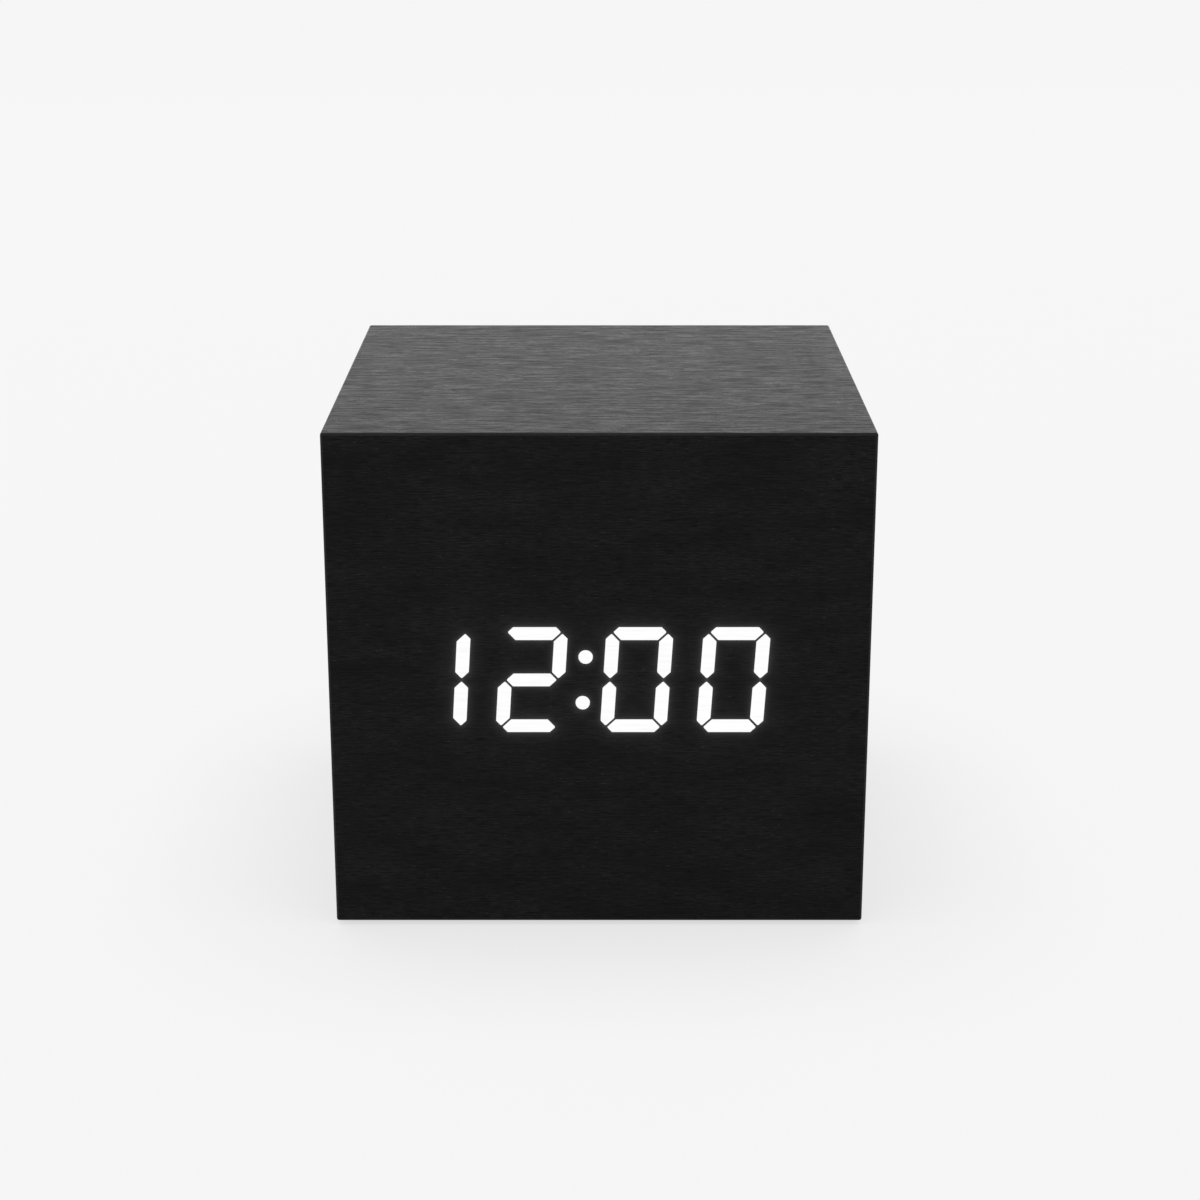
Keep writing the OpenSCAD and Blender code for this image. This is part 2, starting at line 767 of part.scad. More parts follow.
// Rear plate and its controls
module rear_plate()
    color("#1a1a1a") difference() {
        union() {
            slab_y(plate_seat_y, back_y) plate_outline(0);
            slab_y(floor_y, max(dish_y, plate_seat_y + seat_gap)) hole_outline(seat_gap);
            at_bosses()
                rod_y(0, 0, main_out_y, floor_y + cut, boss_d);
            rod_y(mic_x, mic_z, floor_y - mic_collar_l, floor_y + cut, mic_d + 2 * (seat_gap + mic_collar_t));
        }
        slab_y(dish_y, back_y + cut) hole_outline(dish_wall);
        at_plate_screws() {
            rod_y(0, 0, back_y - head_sink, back_y + cut, screw_head_d + 2 * seat_gap);
            rod_y(0, 0, plate_seat_y - cut, back_y, screw_d + 2 * seat_gap);
        }
        at_bosses()
            rod_y(0, 0, main_out_y - cut, floor_y - boss_end, screw_d + 2 * light_gap);
        for (i = [0:2])
            rod_y(button_x(i), button_z, floor_y - cut, back_y + cut, button_d + 2 * slide_gap);
        slab_y(floor_y - cut, back_y + cut) usb_outline(usb_room);
        slab_y(floor_y - cut, back_y + cut)
            translate([slider_x, row_z])
                square([knob_w + knob_travel + 4 * slide_gap, knob_w + 2 * slide_gap], center = true);
        rod_y(0, row_z, floor_y - cut, back_y + cut, sound_hole_d);
        for (turn = [0:60:300])
            rod_y(sound_ring * cos(turn), row_z + sound_ring * sin(turn),
                  floor_y - cut, back_y + cut, sound_hole_d);
        rod_y(mic_x, mic_z, floor_y - mic_collar_l - cut, floor_y, mic_d + 2 * seat_gap);
        rod_y(mic_x, mic_z, floor_y - cut, back_y + cut, sound_hole_d);
    }

module rear_plate_screws()
    color("#b8b8b8")
        at_plate_screws()
            translate([0, back_y - head_sink, 0])
                rotate([-90, 0, 0])
                    screw(film_t + panel_t - head_sink - screw_stop);

// A cap with a chamfered face, a collar that holds it behind the plate and a stem that meets its plunger
module button(i)
    translate([button_x(i), plunger_top_y, button_z])
        rotate([-90, 0, 0]) {
            stem_l = collar_y - collar_t - plunger_top_y;
            cap_l = dish_y + button_proud - plunger_top_y;
            collar_r = button_d / 2 + collar_w;
            rotate_extrude()
                polygon([[0, 0], [stem_d / 2, 0], [stem_d / 2, stem_l], [collar_r, stem_l],
                         [collar_r, stem_l + collar_t], [button_d / 2, stem_l + collar_t],
                         [button_d / 2, cap_l - face_cut], [button_d / 2 - face_cut, cap_l], [0, cap_l]]);
        }
module set_button() color("#1a1a1a") button(0);
module up_button() color("#1a1a1a") button(1);
module down_button() color("#1a1a1a") button(2);

module plunger(i) rod_y(button_x(i), button_z, plunger_foot_y, plunger_top_y, plunger_d);
module set_plunger() color("#303030") plunger(0);
module up_plunger() color("#303030") plunger(1);
module down_plunger() color("#303030") plunger(2);

module switch_housings()
    color("#8c8c8c")
        for (i = [0:2])
            difference() {
                translate([button_x(i) - tact_w / 2, main_out_y, button_z - tact_w / 2])
                    cube([tact_w, tact_h, tact_w]);
                rod_y(button_x(i), button_z, plunger_foot_y - button_travel - plunger_room,
                      main_out_y + tact_h + cut, plunger_d + 2 * slide_gap);
            }

module sound_switch_knob()
    color("#d0d0d0") difference() {
        slab_y(main_out_y + slider_h - slider_depth + slide_gap, dish_y + knob_proud)
            translate([knob_x, row_z])
                square(knob_w, center = true);
        for (k = [-1:1])
            translate([knob_x + k * knob_groove_pitch, dish_y + knob_proud, row_z])
                cube([knob_groove_w, 2 * knob_groove_w, knob_w + cut], center = true);
    }

module sound_switch_housing()
    color("#a8a8a8") difference() {
        translate([slider_x - slider_l / 2, main_out_y, row_z - slider_w / 2])
            cube([slider_l, slider_h, slider_w]);
        slab_y(main_out_y + slider_h - slider_depth, main_out_y + slider_h + cut)
            translate([slider_x, row_z])
                square([knob_w + knob_travel + 2 * slide_gap, knob_w + 2 * slide_gap], center = true);
    }

module main_board()
    color("#1f5a3a") difference() {
        slab_y(main_in_y, main_out_y)
            translate([0, plate_z])
                square([main_w, main_h], center = true);
        at_bosses()
            rod_y(0, 0, main_in_y - cut, main_out_y + cut, screw_d + 2 * seat_gap);
    }

module main_board_screws()
    color("#b8b8b8")
        at_bosses()
            translate([0, main_in_y, 0])
                rotate([90, 0, 0])
                    screw(board_t + standoff - 2 * boss_end);

module usb_shell()
    color("#c0c0c4") difference() {
        slab_y(main_out_y, dish_y) usb_outline(0);
        slab_y(main_out_y - cut, dish_y + cut) usb_outline(-usb_t);
    }

module usb_tongue()
    color("#181818") {
        slab_y(main_out_y, main_out_y + usb_block_l) usb_outline(-usb_t - light_gap);
        slab_y(main_out_y + usb_block_l - cut, dish_y - tongue_short)
            translate([usb_x - tongue_w / 2, row_z + tongue_rise])
                square([tongue_w, tongue_t]);
    }

module buzzer()
    color("#151515") difference() {
        rod_y(0, row_z, main_out_y, main_out_y + buzzer_h, buzzer_d);
        rod_y(0, row_z, main_out_y + buzzer_h - buzzer_mouth_l, main_out_y + buzzer_h + cut, buzzer_mouth_d);
    }

module microphone()
    color("#9a9a9a") {
        rod_y(mic_x, mic_z, floor_y - mic_l - light_gap, floor_y - light_gap, mic_d);
        for (side = [-1, 1])
            rod_y(mic_x + side * mic_leg_x, mic_z, main_out_y, floor_y - mic_l, mic_leg_d);
    }

module control_chip()
    color("#262626")
        translate([control_x, main_in_y, plate_z + main_h / 2 - control_inset])
            rotate([90, 0, 0])
                chip(control_l, control_w, control_h, control_legs);

// A slim can that lies on the board, with two bent legs
module quartz_crystal() {
    can_y = main_in_y - crystal_d / 2 - crystal_lift;
    leg_x = crystal_x - crystal_leg_l / 2;
    color("#c8c8c8") {
        rod_x(can_y, plate_z, crystal_x, crystal_x + crystal_l, crystal_d);
        for (side = [-1, 1])
            translate([leg_x, can_y, plate_z + (side * crystal_d / 2 - crystal_leg_t) / 2]) {
                cube([crystal_leg_l, crystal_leg_t, crystal_leg_t]);
                cube([crystal_leg_t, main_in_y - can_y, crystal_leg_t]);
            }
    }
}

// A can that stands off the board, with a cross scored in its end
module capacitor()
    color("#1f2f52") difference() {
        rod_y(capacitor_x, plate_z - capacitor_drop, main_in_y - capacitor_l, main_in_y, capacitor_d);
        for (turn = [0, 90])
            translate([capacitor_x, main_in_y - capacitor_l, plate_z - capacitor_drop])
                rotate([0, turn, 0])
                    cube([vent_l, 2 * vent_depth, vent_w], center = true);
    }

module board_socket()
    color("#e8e2d0")
        translate([socket_x, main_in_y, main_socket_z])
            rotate([90, 0, 0])
                cable_socket();

// A flat cable with straight ends in the sockets and a sag between them
function ribbon_level(u) =
    display_socket_z + (main_socket_z - display_socket_z) * u * u * (3 - 2 * u)
    - ribbon_sag * pow(sin(180 * u), 2);
function ribbon_line() =
    let (a = ribbon_y0 + ribbon_straight, b = ribbon_y1 - ribbon_straight)
    concat([[ribbon_y0, ribbon_level(0)]],
           [for (k = [0:ribbon_steps]) [a + (b - a) * k / ribbon_steps, ribbon_level(k / ribbon_steps)]],
           [[ribbon_y1, ribbon_level(1)]]);
module ribbon_cable()
    color("#d8d8d8")
        slab_x(socket_x - ribbon_w / 2, socket_x + ribbon_w / 2)
            polygon(concat([for (p = ribbon_line()) p + [0, ribbon_t / 2]],
                           [for (i = [len(ribbon_line()) - 1:-1:0]) ribbon_line()[i] - [0, ribbon_t / 2]]));

// Battery bay
module battery_box()
    color("#1a1a1a") {
        difference() {
            union() {
                slab_z(case_z, rim_top) rim_outline(0);
                slab_z(case_z, box_top) square([box_w, box_l], center = true);
            }
            slab_z(case_z - cut, pocket_top) square([pocket_w, pocket_l], center = true);
            slab_z(case_z - cut, bay_top) square([bay_w, bay_l], center = true);
            rod_x(hinge_y, hinge_z, -door_w / 2 - pin_l - seat_gap, door_w / 2 + pin_l + seat_gap,
                  pin_d + 2 * pin_gap);
            slab_z(case_z - cut, pocket_top + latch_h + door_gap)
                translate([-latch_w / 2 - door_gap, bay_l / 2 - cut])
                    square([latch_w + 2 * door_gap, pocket_l / 2 - bay_l / 2 + cut]);
            translate([0, rim_l / 2 - scoop_edge - scoop_r, case_z - cut])
                cylinder(h = cut + scoop_depth, r = scoop_r);
            for (side = [-1, 1])
                translate([side * -cell_pitch, side * (contact_y + contact_t / 2), bay_top])
                    cube([tab_w + 2 * seat_gap, contact_t + 2 * seat_gap, 4 * box_wall], center = true);
        }
        for (side = [-1, 1])
            translate([side * cell_pitch / 2 - rib_w / 2, rib_end - bay_l / 2, bay_top - rib_h])
                cube([rib_w, bay_l - 2 * rib_end, rib_h + box_wall / 2]);
    }

// A flat door that turns on pins at its front end, with a latch at its back end
module battery_door()
    color("#1a1a1a") difference() {
        union() {
            slab_z(case_z, case_z + door_t)
                translate([-door_w / 2, hinge_y])
                    square([door_w, door_l / 2 - hinge_y]);
            rod_x(hinge_y, hinge_z, -door_w / 2, door_w / 2, door_t);
            rod_x(hinge_y, hinge_z, -door_w / 2 - pin_l, door_w / 2 + pin_l, pin_d);
            slab_z(case_z, case_z + door_t + latch_h)
                translate([-latch_w / 2, latch_y])
                    square([latch_w, latch_t]);
        }
        for (k = [0:4])
            translate([0, door_l / 2 - groove_inset - k * groove_pitch, case_z])
                cube([groove_l, groove_w, 2 * groove_depth], center = true);
    }

// Cells one and three point to the back, and the middle one points to the front
module battery_cells()
    color("#3a3f45")
        for (k = [-1:1]) {
            side = k == 0 ? -1 : 1;
            translate([k * cell_pitch, side * contact_y, cell_z])
                rotate([side * 90, 0, 0]) {
                    cylinder(h = nub_l + cut, d = nub_d);
                    translate([0, 0, nub_l])
                        cylinder(h = cell_l - nub_l, d = cell_d);
                }
        }

// Each end has a plate for one cell, with a solder tab, and a plate that joins two cells
module contact_plates()
    color("#c8c8cc")
        for (side = [-1, 1]) {
            y0 = min(side * contact_y, side * (contact_y + contact_t));
            slab_y(y0, y0 + contact_t) {
                translate([-side * cell_pitch - contact_w / 2, cell_z - contact_h / 2])
                    square([contact_w, contact_h]);
                translate([-side * cell_pitch - tab_w / 2, cell_z])
                    square([tab_w, tab_top - cell_z]);
            }
            slab_y(y0, y0 + contact_t)
                translate([side * cell_pitch / 2, cell_z])
                    square([cell_pitch + contact_w, contact_h], center = true);
        }

module contact_springs()
    color("#d0d0d4")
        for (k = [-1:1])
            translate([k * cell_pitch, (k == 0 ? 1 : -1) * contact_y, cell_z])
                rotate(k == 0 ? 180 : 0)
                    tube(spring_points(), [0, 1, 0], spring_wire, 6);

// Leads from the solder tabs over the box to the lower edge of the main board
function lead_end(side) = [
    [side * pad_x, main_in_y - lead_turn, (lead_z + pad_z) / 2],
    [side * pad_x, main_in_y - 2 * lead_bend, pad_z - lead_lift],
    [side * pad_x, main_in_y - lead_bend, pad_z],
    [side * pad_x, main_in_y, pad_z],
];
module lead(route) tube(smooth(route, 3), [1, 0, 0], lead_d, 8);
module red_lead()
    color("#c02020")
        lead(concat([
            [-cell_pitch, contact_y, lead_z],
            [-cell_pitch, contact_y - lead_start, lead_z],
            [-cell_pitch, main_in_y - lead_turn / 2, lead_z + lead_lift],
        ], lead_end(-1)));
module black_lead()
    color("#181818")
        lead(concat([
            [cell_pitch, -contact_y, lead_z],
            [cell_pitch, lead_start - contact_y, lead_z],
            [cell_pitch, -contact_y / 2, lead_z + lead_lift],
            [(cell_pitch + pad_x) / 2, 0, lead_z + lead_lift],
            [pad_x, main_in_y - 2 * lead_turn, lead_z + lead_lift],
        ], lead_end(1)));

grain_film();
front_core();
back_core();
top_core();
bottom_core();
left_core();
right_core();
feet();
lit_segments();
unlit_segments();
segment_reflector();
led_chips();
display_board();
display_screws();
display_driver();
display_socket();
rear_plate();
rear_plate_screws();
set_button();
up_button();
down_button();
set_plunger();
up_plunger();
down_plunger();
switch_housings();
sound_switch_knob();
sound_switch_housing();
main_board();
main_board_screws();
usb_shell();
usb_tongue();
buzzer();
microphone();
control_chip();
quartz_crystal();
capacitor();
board_socket();
ribbon_cable();
battery_box();
battery_door();
battery_cells();
contact_plates();
contact_springs();
red_lead();
black_lead();
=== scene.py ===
"""Dresses a cube alarm clock: its grain film, its lit digits, the controls in its back and its battery bay.

Every length is in metres and every piece sits in the frame of the solids that it dresses:
X to the right, Y to the back, Z up, with the origin on the table under the middle of the case.
"""

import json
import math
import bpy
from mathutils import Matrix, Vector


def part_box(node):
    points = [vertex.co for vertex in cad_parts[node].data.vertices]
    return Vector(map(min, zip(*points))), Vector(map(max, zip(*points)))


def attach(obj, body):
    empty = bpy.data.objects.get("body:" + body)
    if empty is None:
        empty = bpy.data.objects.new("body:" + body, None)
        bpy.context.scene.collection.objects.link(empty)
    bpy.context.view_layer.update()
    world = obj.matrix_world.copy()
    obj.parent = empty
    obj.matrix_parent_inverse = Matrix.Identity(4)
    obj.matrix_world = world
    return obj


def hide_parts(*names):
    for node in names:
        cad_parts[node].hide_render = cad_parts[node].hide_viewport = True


bl_info = {
    "name": "Cube alarm clock",
    "version": (1, 0, 0),
    "blender": (4, 5, 0),
    "location": "View3D > Sidebar > Clock",
    "description": "Dresses the solids of a cube alarm clock and sets the stage for them",
    "category": "Add Mesh",
}

from itertools import product

import bmesh
import bpy
import numpy as np
from bpy.props import FloatProperty, FloatVectorProperty, PointerProperty
from mathutils import Vector
from mathutils.geometry import delaunay_2d_cdt

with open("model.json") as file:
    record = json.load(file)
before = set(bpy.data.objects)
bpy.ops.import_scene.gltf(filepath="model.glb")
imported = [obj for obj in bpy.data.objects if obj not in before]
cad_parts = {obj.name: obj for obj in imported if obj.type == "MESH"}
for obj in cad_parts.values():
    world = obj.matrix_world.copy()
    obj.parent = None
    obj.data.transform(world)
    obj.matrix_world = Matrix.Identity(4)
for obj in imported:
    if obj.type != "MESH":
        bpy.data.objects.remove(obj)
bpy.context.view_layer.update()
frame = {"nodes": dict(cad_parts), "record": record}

MM = 0.001

# Straight sides of a circle, of a small circle and of a wire's section
ROUND_SIDES = 48
SMALL_SIDES = 24
WIRE_SIDES = 10
# Steps of a soft edge, of a corner, of the door's round end and of one turn of a spring
ARC_STEPS = 4
CORNER_STEPS = 6
HINGE_STEPS = 12
COIL_STEPS = 36
# Smallest radius of a corner, and its largest as a share of the shorter side
LEAST_ROUND = 0.02 * MM
MOST_ROUND = 0.49

# Points of a deck count as one when they lie this close, in millimetres
ONE_SPOT = 1e-6
# Faces of a node count as flat with its front when they lie this close to it
FLAT = 0.001 * MM
# A face of the film is on a fold when no part of its normal reaches this
SQUARE_ON = 0.999
# Distance that stands for "far from every lit bar"
FAR = 100 * MM
# Where the back, the right and the left side lie on the unfolded film, in millimetres
BACK_AT, RIGHT_AT, LEFT_AT = 250, 400, 500

BUTTONS = ("set", "up", "down")
# Each cell's place in the row, and the end with its nub: 1 for the back, -1 for the front
CELLS = ((-1, 1), (0, -1), (1, 1))
# Turns of a contact spring, and finger grooves in the door
COIL_TURNS = 2.5
GROOVES = 5

# Hollow of a foot: shares of its radius and of the hollow's depth
FOOT_BOWL = ((0.7, 0), (0.5, 0.8), (0.2, 1))
# Hollow of a button: shares of its radius, from the edge inwards
CAP_BOWL = (0.92, 0.8, 0.6, 0.4, 0.2, 0.06)
# Finger groove: shares of the way from its edge to its middle
GROOVE_BOWL = (0, 0.25, 0.5, 0.75)
# Head of a screw: shares of its radius, with depths below its top
SCREW_DOME = ((0.72, 0), (0.86, 0.06 * MM), (0.95, 0.2 * MM), (1, 0.42 * MM))
# Thread of a screw: spacing of its ridges, and shares of the shank's radius with depths in one of them
THREAD_PITCH = 0.5 * MM
THREAD = ((0.82, 0.2 * MM), (1, 0.4 * MM))
# Share of the shank's radius at a screw's tip
SCREW_TIP = 0.4
# How much shorter and narrower a cross recess is at its floor
RECESS_TAPER = 0.45, 0.3
# Corners of a printed arrow that points up, as shares of a mark's height
MARK_ARROW = ((-0.62, -0.45), (0.62, -0.45), (0, 0.55))

# Camera: sensor width in millimetres, and the nearest and furthest that it sees
SENSOR = 36
SEES_FROM, SEES_TO = 0.01, 20
# Share of its light that the floor throws back on the object, and samples of its contact shadow
BOUNCE = 0.85
SHADOW_SAMPLES = 12


def linear(code):
    """Turns an sRGB hex colour into linear red, green, blue and alpha."""
    parts = [int(code[i:i + 2], 16) / 255 for i in (1, 3, 5)]
    return tuple(p / 12.92 if p <= 0.04045 else ((p + 0.055) / 1.055) ** 2.4 for p in parts) + (1.0,)


def length(name, description, millimetres):
    """A length that a user can change."""
    return FloatProperty(name=name, description=description, default=millimetres * MM, unit="LENGTH",
                         precision=5)


def angle(name, description, degrees):
    """An angle that a user can change."""
    return FloatProperty(name=name, description=description, default=math.radians(degrees), unit="ROTATION")


def amount(name, description, value):
    """A plain number that a user can change."""
    return FloatProperty(name=name, description=description, default=value, precision=4)


def colour(name, description, code):
    """A colour that a user can change."""
    return FloatVectorProperty(name=name, description=description, default=linear(code), size=4,
                               subtype="COLOR", min=0, max=1)


# Sizes and colours

class CaseSizes(bpy.types.PropertyGroup):
    """Film, digits and feet."""
    fold: length("Fold", "Radius of the edges that the film is folded over", 0.3)
    glow_reach: length("Glow reach", "How far the lit bars brighten the film round them", 3)
    net_step: length("Net step", "Spacing of the film's points round the lit bars", 0.4)
    line_fade: length("Line fade", "Where the bright line round a lit bar has fallen to a third", 0.22)
    line_light: amount("Line light", "Strength of the bright line at the edge of a lit bar", 0.03)
    halo_fade: length("Halo fade", "Where the halo round a lit bar has fallen to a third", 1)
    halo_light: amount("Halo light", "Strength of the halo at the edge of a lit bar", 0.0105)
    foot_edge: length("Foot edge", "Radius of the edge of a foot", 0.2)
    foot_hollow: length("Foot hollow", "Depth of the hollow in a foot's face", 0.05)


class ControlSizes(bpy.types.PropertyGroup):
    """Rear plate, buttons, slide switch, inlet and screws."""
    board_room: length("Board room", "Room round the main board in the hole of the back panel", 1)
    fit: length("Fit", "Gap round a piece that is set in a hole", 0.1)
    rim_t: length("Rim thickness", "Thickness of the plate's rim", 1.5)
    rim_edge: length("Rim edge", "Radius of the plate's outer edge", 0.3)
    plate_r: length("Plate corner", "Radius of the plate's corners", 2.5)
    plug_r: length("Plug corner", "Radius of the corners of the plate's inner block", 1.9)
    dish_depth: length("Dish depth", "Depth of the plate's dish", 1)
    dish_wall: length("Dish wall", "Wall round the dish, inside the hole", 1.6)
    dish_r: length("Dish corner", "Radius of the dish's corners", 1.2)
    dish_edge: length("Dish edge", "Radius of the dish's rim and of its foot", 0.3)
    floor_t: length("Floor", "Thickness of the dish's floor", 1.5)
    hole_edge: length("Hole edge", "Radius of the edge of a hole", 0.12)
    slide_gap: length("Slide gap", "Gap beside a piece that slides", 0.1)
    sound_hole: length("Sound hole", "Diameter of a sound hole", 1.2)
    sound_ring: length("Sound ring", "Radius of the ring of sound holes", 2.6)
    boss_inset: length("Boss inset", "From the edge of the main board to a boss", 2.5)
    boss_d: length("Boss", "Diameter of a boss", 4)
    boss_end: length("Boss end", "Closed length at the end of a boss", 1)
    collar_t: length("Microphone collar", "Wall of the collar round the microphone", 0.8)
    collar_l: length("Collar length", "Length of the collar round the microphone", 2)
    cap_d: length("Button", "Diameter of a button", 6)
    cap_edge: length("Button edge", "Radius of a button's edge", 0.4)
    cap_hollow: length("Button hollow", "Depth of the hollow in a button's face", 0.22)
    cap_collar: length("Button collar", "Thickness of a button's inner collar", 1)
    stem_d: length("Button stem", "Diameter of a button's stem", 3.4)
    screw_d: length("Screw", "Shank of a screw", 2)
    head_d: length("Screw head", "Diameter of a screw's head", 3.6)
    head_h: length("Head height", "Height of a screw's head", 1)
    recess_l: length("Recess", "Half of the length of a screw's cross recess", 1.05)
    recess_w: length("Recess width", "Half of the width of a screw's cross recess", 0.24)
    recess_depth: length("Recess depth", "Depth of a screw's cross recess", 0.6)
    travel: length("Slide travel", "Travel of the slide switch", 2)
    groove_w: length("Knob groove", "Width of a groove in the slide switch's knob", 0.26)
    groove_pitch: length("Groove pitch", "From one groove of the knob to the next", 0.5)
    groove_depth: length("Groove depth", "Depth of a groove in the knob", 0.2)
    knob_edge: length("Knob edge", "Bevel of the knob's edges", 0.1)
    sheet_t: length("Inlet sheet", "Sheet thickness of the power inlet", 0.3)
    inlet_room: length("Inlet room", "Gap round the power inlet", 0.3)
    inlet_block: length("Inlet block", "Length of the block at the back of the inlet", 3)
    tongue_w: length("Tongue width", "Width of the inlet's tongue", 4.4)
    tongue_t: length("Tongue", "Thickness of the inlet's tongue", 0.6)
    tongue_rise: length("Tongue rise", "Height of the tongue above the inlet's middle", 0.1)
    tongue_short: length("Tongue end", "From the tongue's end to the inlet's mouth", 0.6)
    pin_w: length("Pin width", "Width of a contact on the tongue", 0.32)
    pin_pitch: length("Pin pitch", "From one contact of the tongue to the next", 0.65)
    pin_proud: length("Pin height", "How far a contact stands off the tongue", 0.06)
    ink_t: length("Ink", "Thickness of the printed marks", 0.02)
    mark_h: length("Mark", "Height of a printed mark", 1.3)
    mark_line: length("Mark line", "Line of a printed mark", 0.24)


class BaySizes(bpy.types.PropertyGroup):
    """Battery door, box, cells and contacts."""
    door_gap: length("Door gap", "Gap round the door", 0.25)
    door_edge: length("Door edge", "Radius of the door's long edges", 0.25)
    door_r: length("Door corner", "Radius of the door's corners", 0.6)
    door_t: length("Door", "Thickness of the door", 1.8)
    door_rim: length("Door rim", "Rim of full thickness round the pockets inside the door", 2.4)
    door_rib: length("Door rib", "Width of a rib between the pockets inside the door", 1.2)
    door_pocket: length("Door pocket", "Depth of a pocket inside the door", 0.6)
    pin_d: length("Hinge pin", "Diameter of a hinge pin", 1)
    pin_l: length("Pin length", "Length of a hinge pin", 1.2)
    latch_w: length("Latch", "Width of the latch", 8)
    latch_t: length("Latch thickness", "Thickness of the latch", 0.8)
    groove_l: length("Groove", "Length of a finger groove", 12)
    groove_w: length("Groove width", "Width of a finger groove", 0.8)
    groove_depth: length("Groove depth", "Depth of a finger groove", 0.35)
    groove_pitch: length("Groove pitch", "From one finger groove to the next", 1.8)
    groove_inset: length("Groove inset", "From the door's end to the first finger groove", 3.5)
    arrow: length("Arrow", "Height of the sunk arrow on the door", 4)
    arrow_depth: length("Arrow depth", "Depth of the sunk arrow", 0.35)
    rim_edge: length("Rim edge", "Radius of the edges of the box's rim", 0.2)
    rim_r: length("Rim corner", "Radius of the corners of the box's rim", 1.5)
    rim_t: length("Rim thickness", "Thickness of the rim above the door", 0.7)
    rim_w: length("Rim width", "Width of the box's rim round the door", 1.6)
    wall: length("Box wall", "Wall of the battery box", 0.8)
    ledge: length("Ledge", "Step between the stages of the box's inside", 0.05)
    lift: length("Door play", "Gap above the door", 0.05)
    scoop_r: length("Scoop", "Radius of the finger scoop", 4.5)
    scoop_edge: length("Scoop edge", "Rim left behind the finger scoop", 0.8)
    scoop_depth: length("Scoop depth", "Depth of the finger scoop", 1.3)
    notch_h: length("Notch", "Height of the notch for the latch", 1.65)
    rib_w: length("Rib", "Width of a rib between two cells", 1)
    rib_h: length("Rib height", "Height of a rib between two cells", 2.4)
    rib_end: length("Rib end", "From a rib to the end of the bay", 6)
    sign_l: length("Sign", "Length of a bar of a plus or minus sign", 3)
    sign_w: length("Sign width", "Width of a bar of a plus or minus sign", 0.8)
    sign_h: length("Sign height", "How far a plus or minus sign stands out", 0.12)
    cell_d: length("Cell", "Diameter of a cell", 10.5)
    cell_pitch: length("Cell pitch", "From one cell to the next", 11)
    cell_edge: length("Cell edge", "Radius of a cell's shoulders", 0.7)
    sleeve_lap: length("Sleeve lap", "Width of the sleeve's turned-in edge on a cell's ends", 1)
    band_l: length("Band", "Length of the band at a cell's positive end", 12)
    nub_d: length("Nub", "Diameter of a cell's nub", 3.8)
    nub_l: length("Nub length", "Length of a cell's nub", 1)
    contact_t: length("Contact sheet", "Sheet thickness of the contacts", 0.3)
    contact_w: length("Contact", "Width of a contact for one cell", 9.5)
    contact_h: length("Contact height", "Height of a contact", 7)
    contact_r: length("Contact corner", "Radius of a contact's corners", 0.8)
    tab_w: length("Solder tab", "Width of a solder tab", 3)
    spring_d: length("Spring", "Diameter of a spring at its foot", 7.4)
    spring_tip: length("Spring tip", "Diameter of a spring at its tip", 4.4)
    spring_wire: length("Spring wire", "Wire of a spring", 0.5)


class StageSizes(bpy.types.PropertyGroup):
    """Camera, floor and light."""
    camera_back: length("Camera distance", "From the front of the case to the camera", 277)
    camera_rise: length("Camera height", "From the top of the case up to the camera", 67)
    camera_side: length("Camera side", "How far the camera stands to the right", 0.1)
    pitch: angle("Pitch", "How far the camera looks down", 17.5)
    lens: FloatProperty(name="Lens", description=f"Focal length on a {SENSOR} mm sensor", default=73.4,
                        unit="CAMERA")
    floor_d: length("Floor", "Diameter of the floor", 6000)
    floor_share: amount("Shadow share", "Share of the floor's brightness that the object can shade", 0.05)
    contact: amount("Contact shadow", "How much darker the floor is right beside the object", 0.255)
    contact_reach: length("Contact reach", "How far the contact shadow reaches", 32)
    lamp_power: FloatProperty(name="Lamp power", description="Power of the soft lamp behind the object",
                              default=2.1, unit="POWER")
    lamp_w: length("Lamp width", "Width of the soft lamp", 1800)
    lamp_h: length("Lamp height", "Height of the soft lamp", 500)
    lamp_away: length("Lamp distance", "From the object to the lamp", 1000)
    lamp_rise: angle("Lamp rise", "Angle of the lamp above the horizon", 32)
    lamp_turn: angle("Lamp turn", "Angle of the lamp to the left of straight behind", 8)
    light: amount("Light", "Strength of the soft light from all round", 0.94)


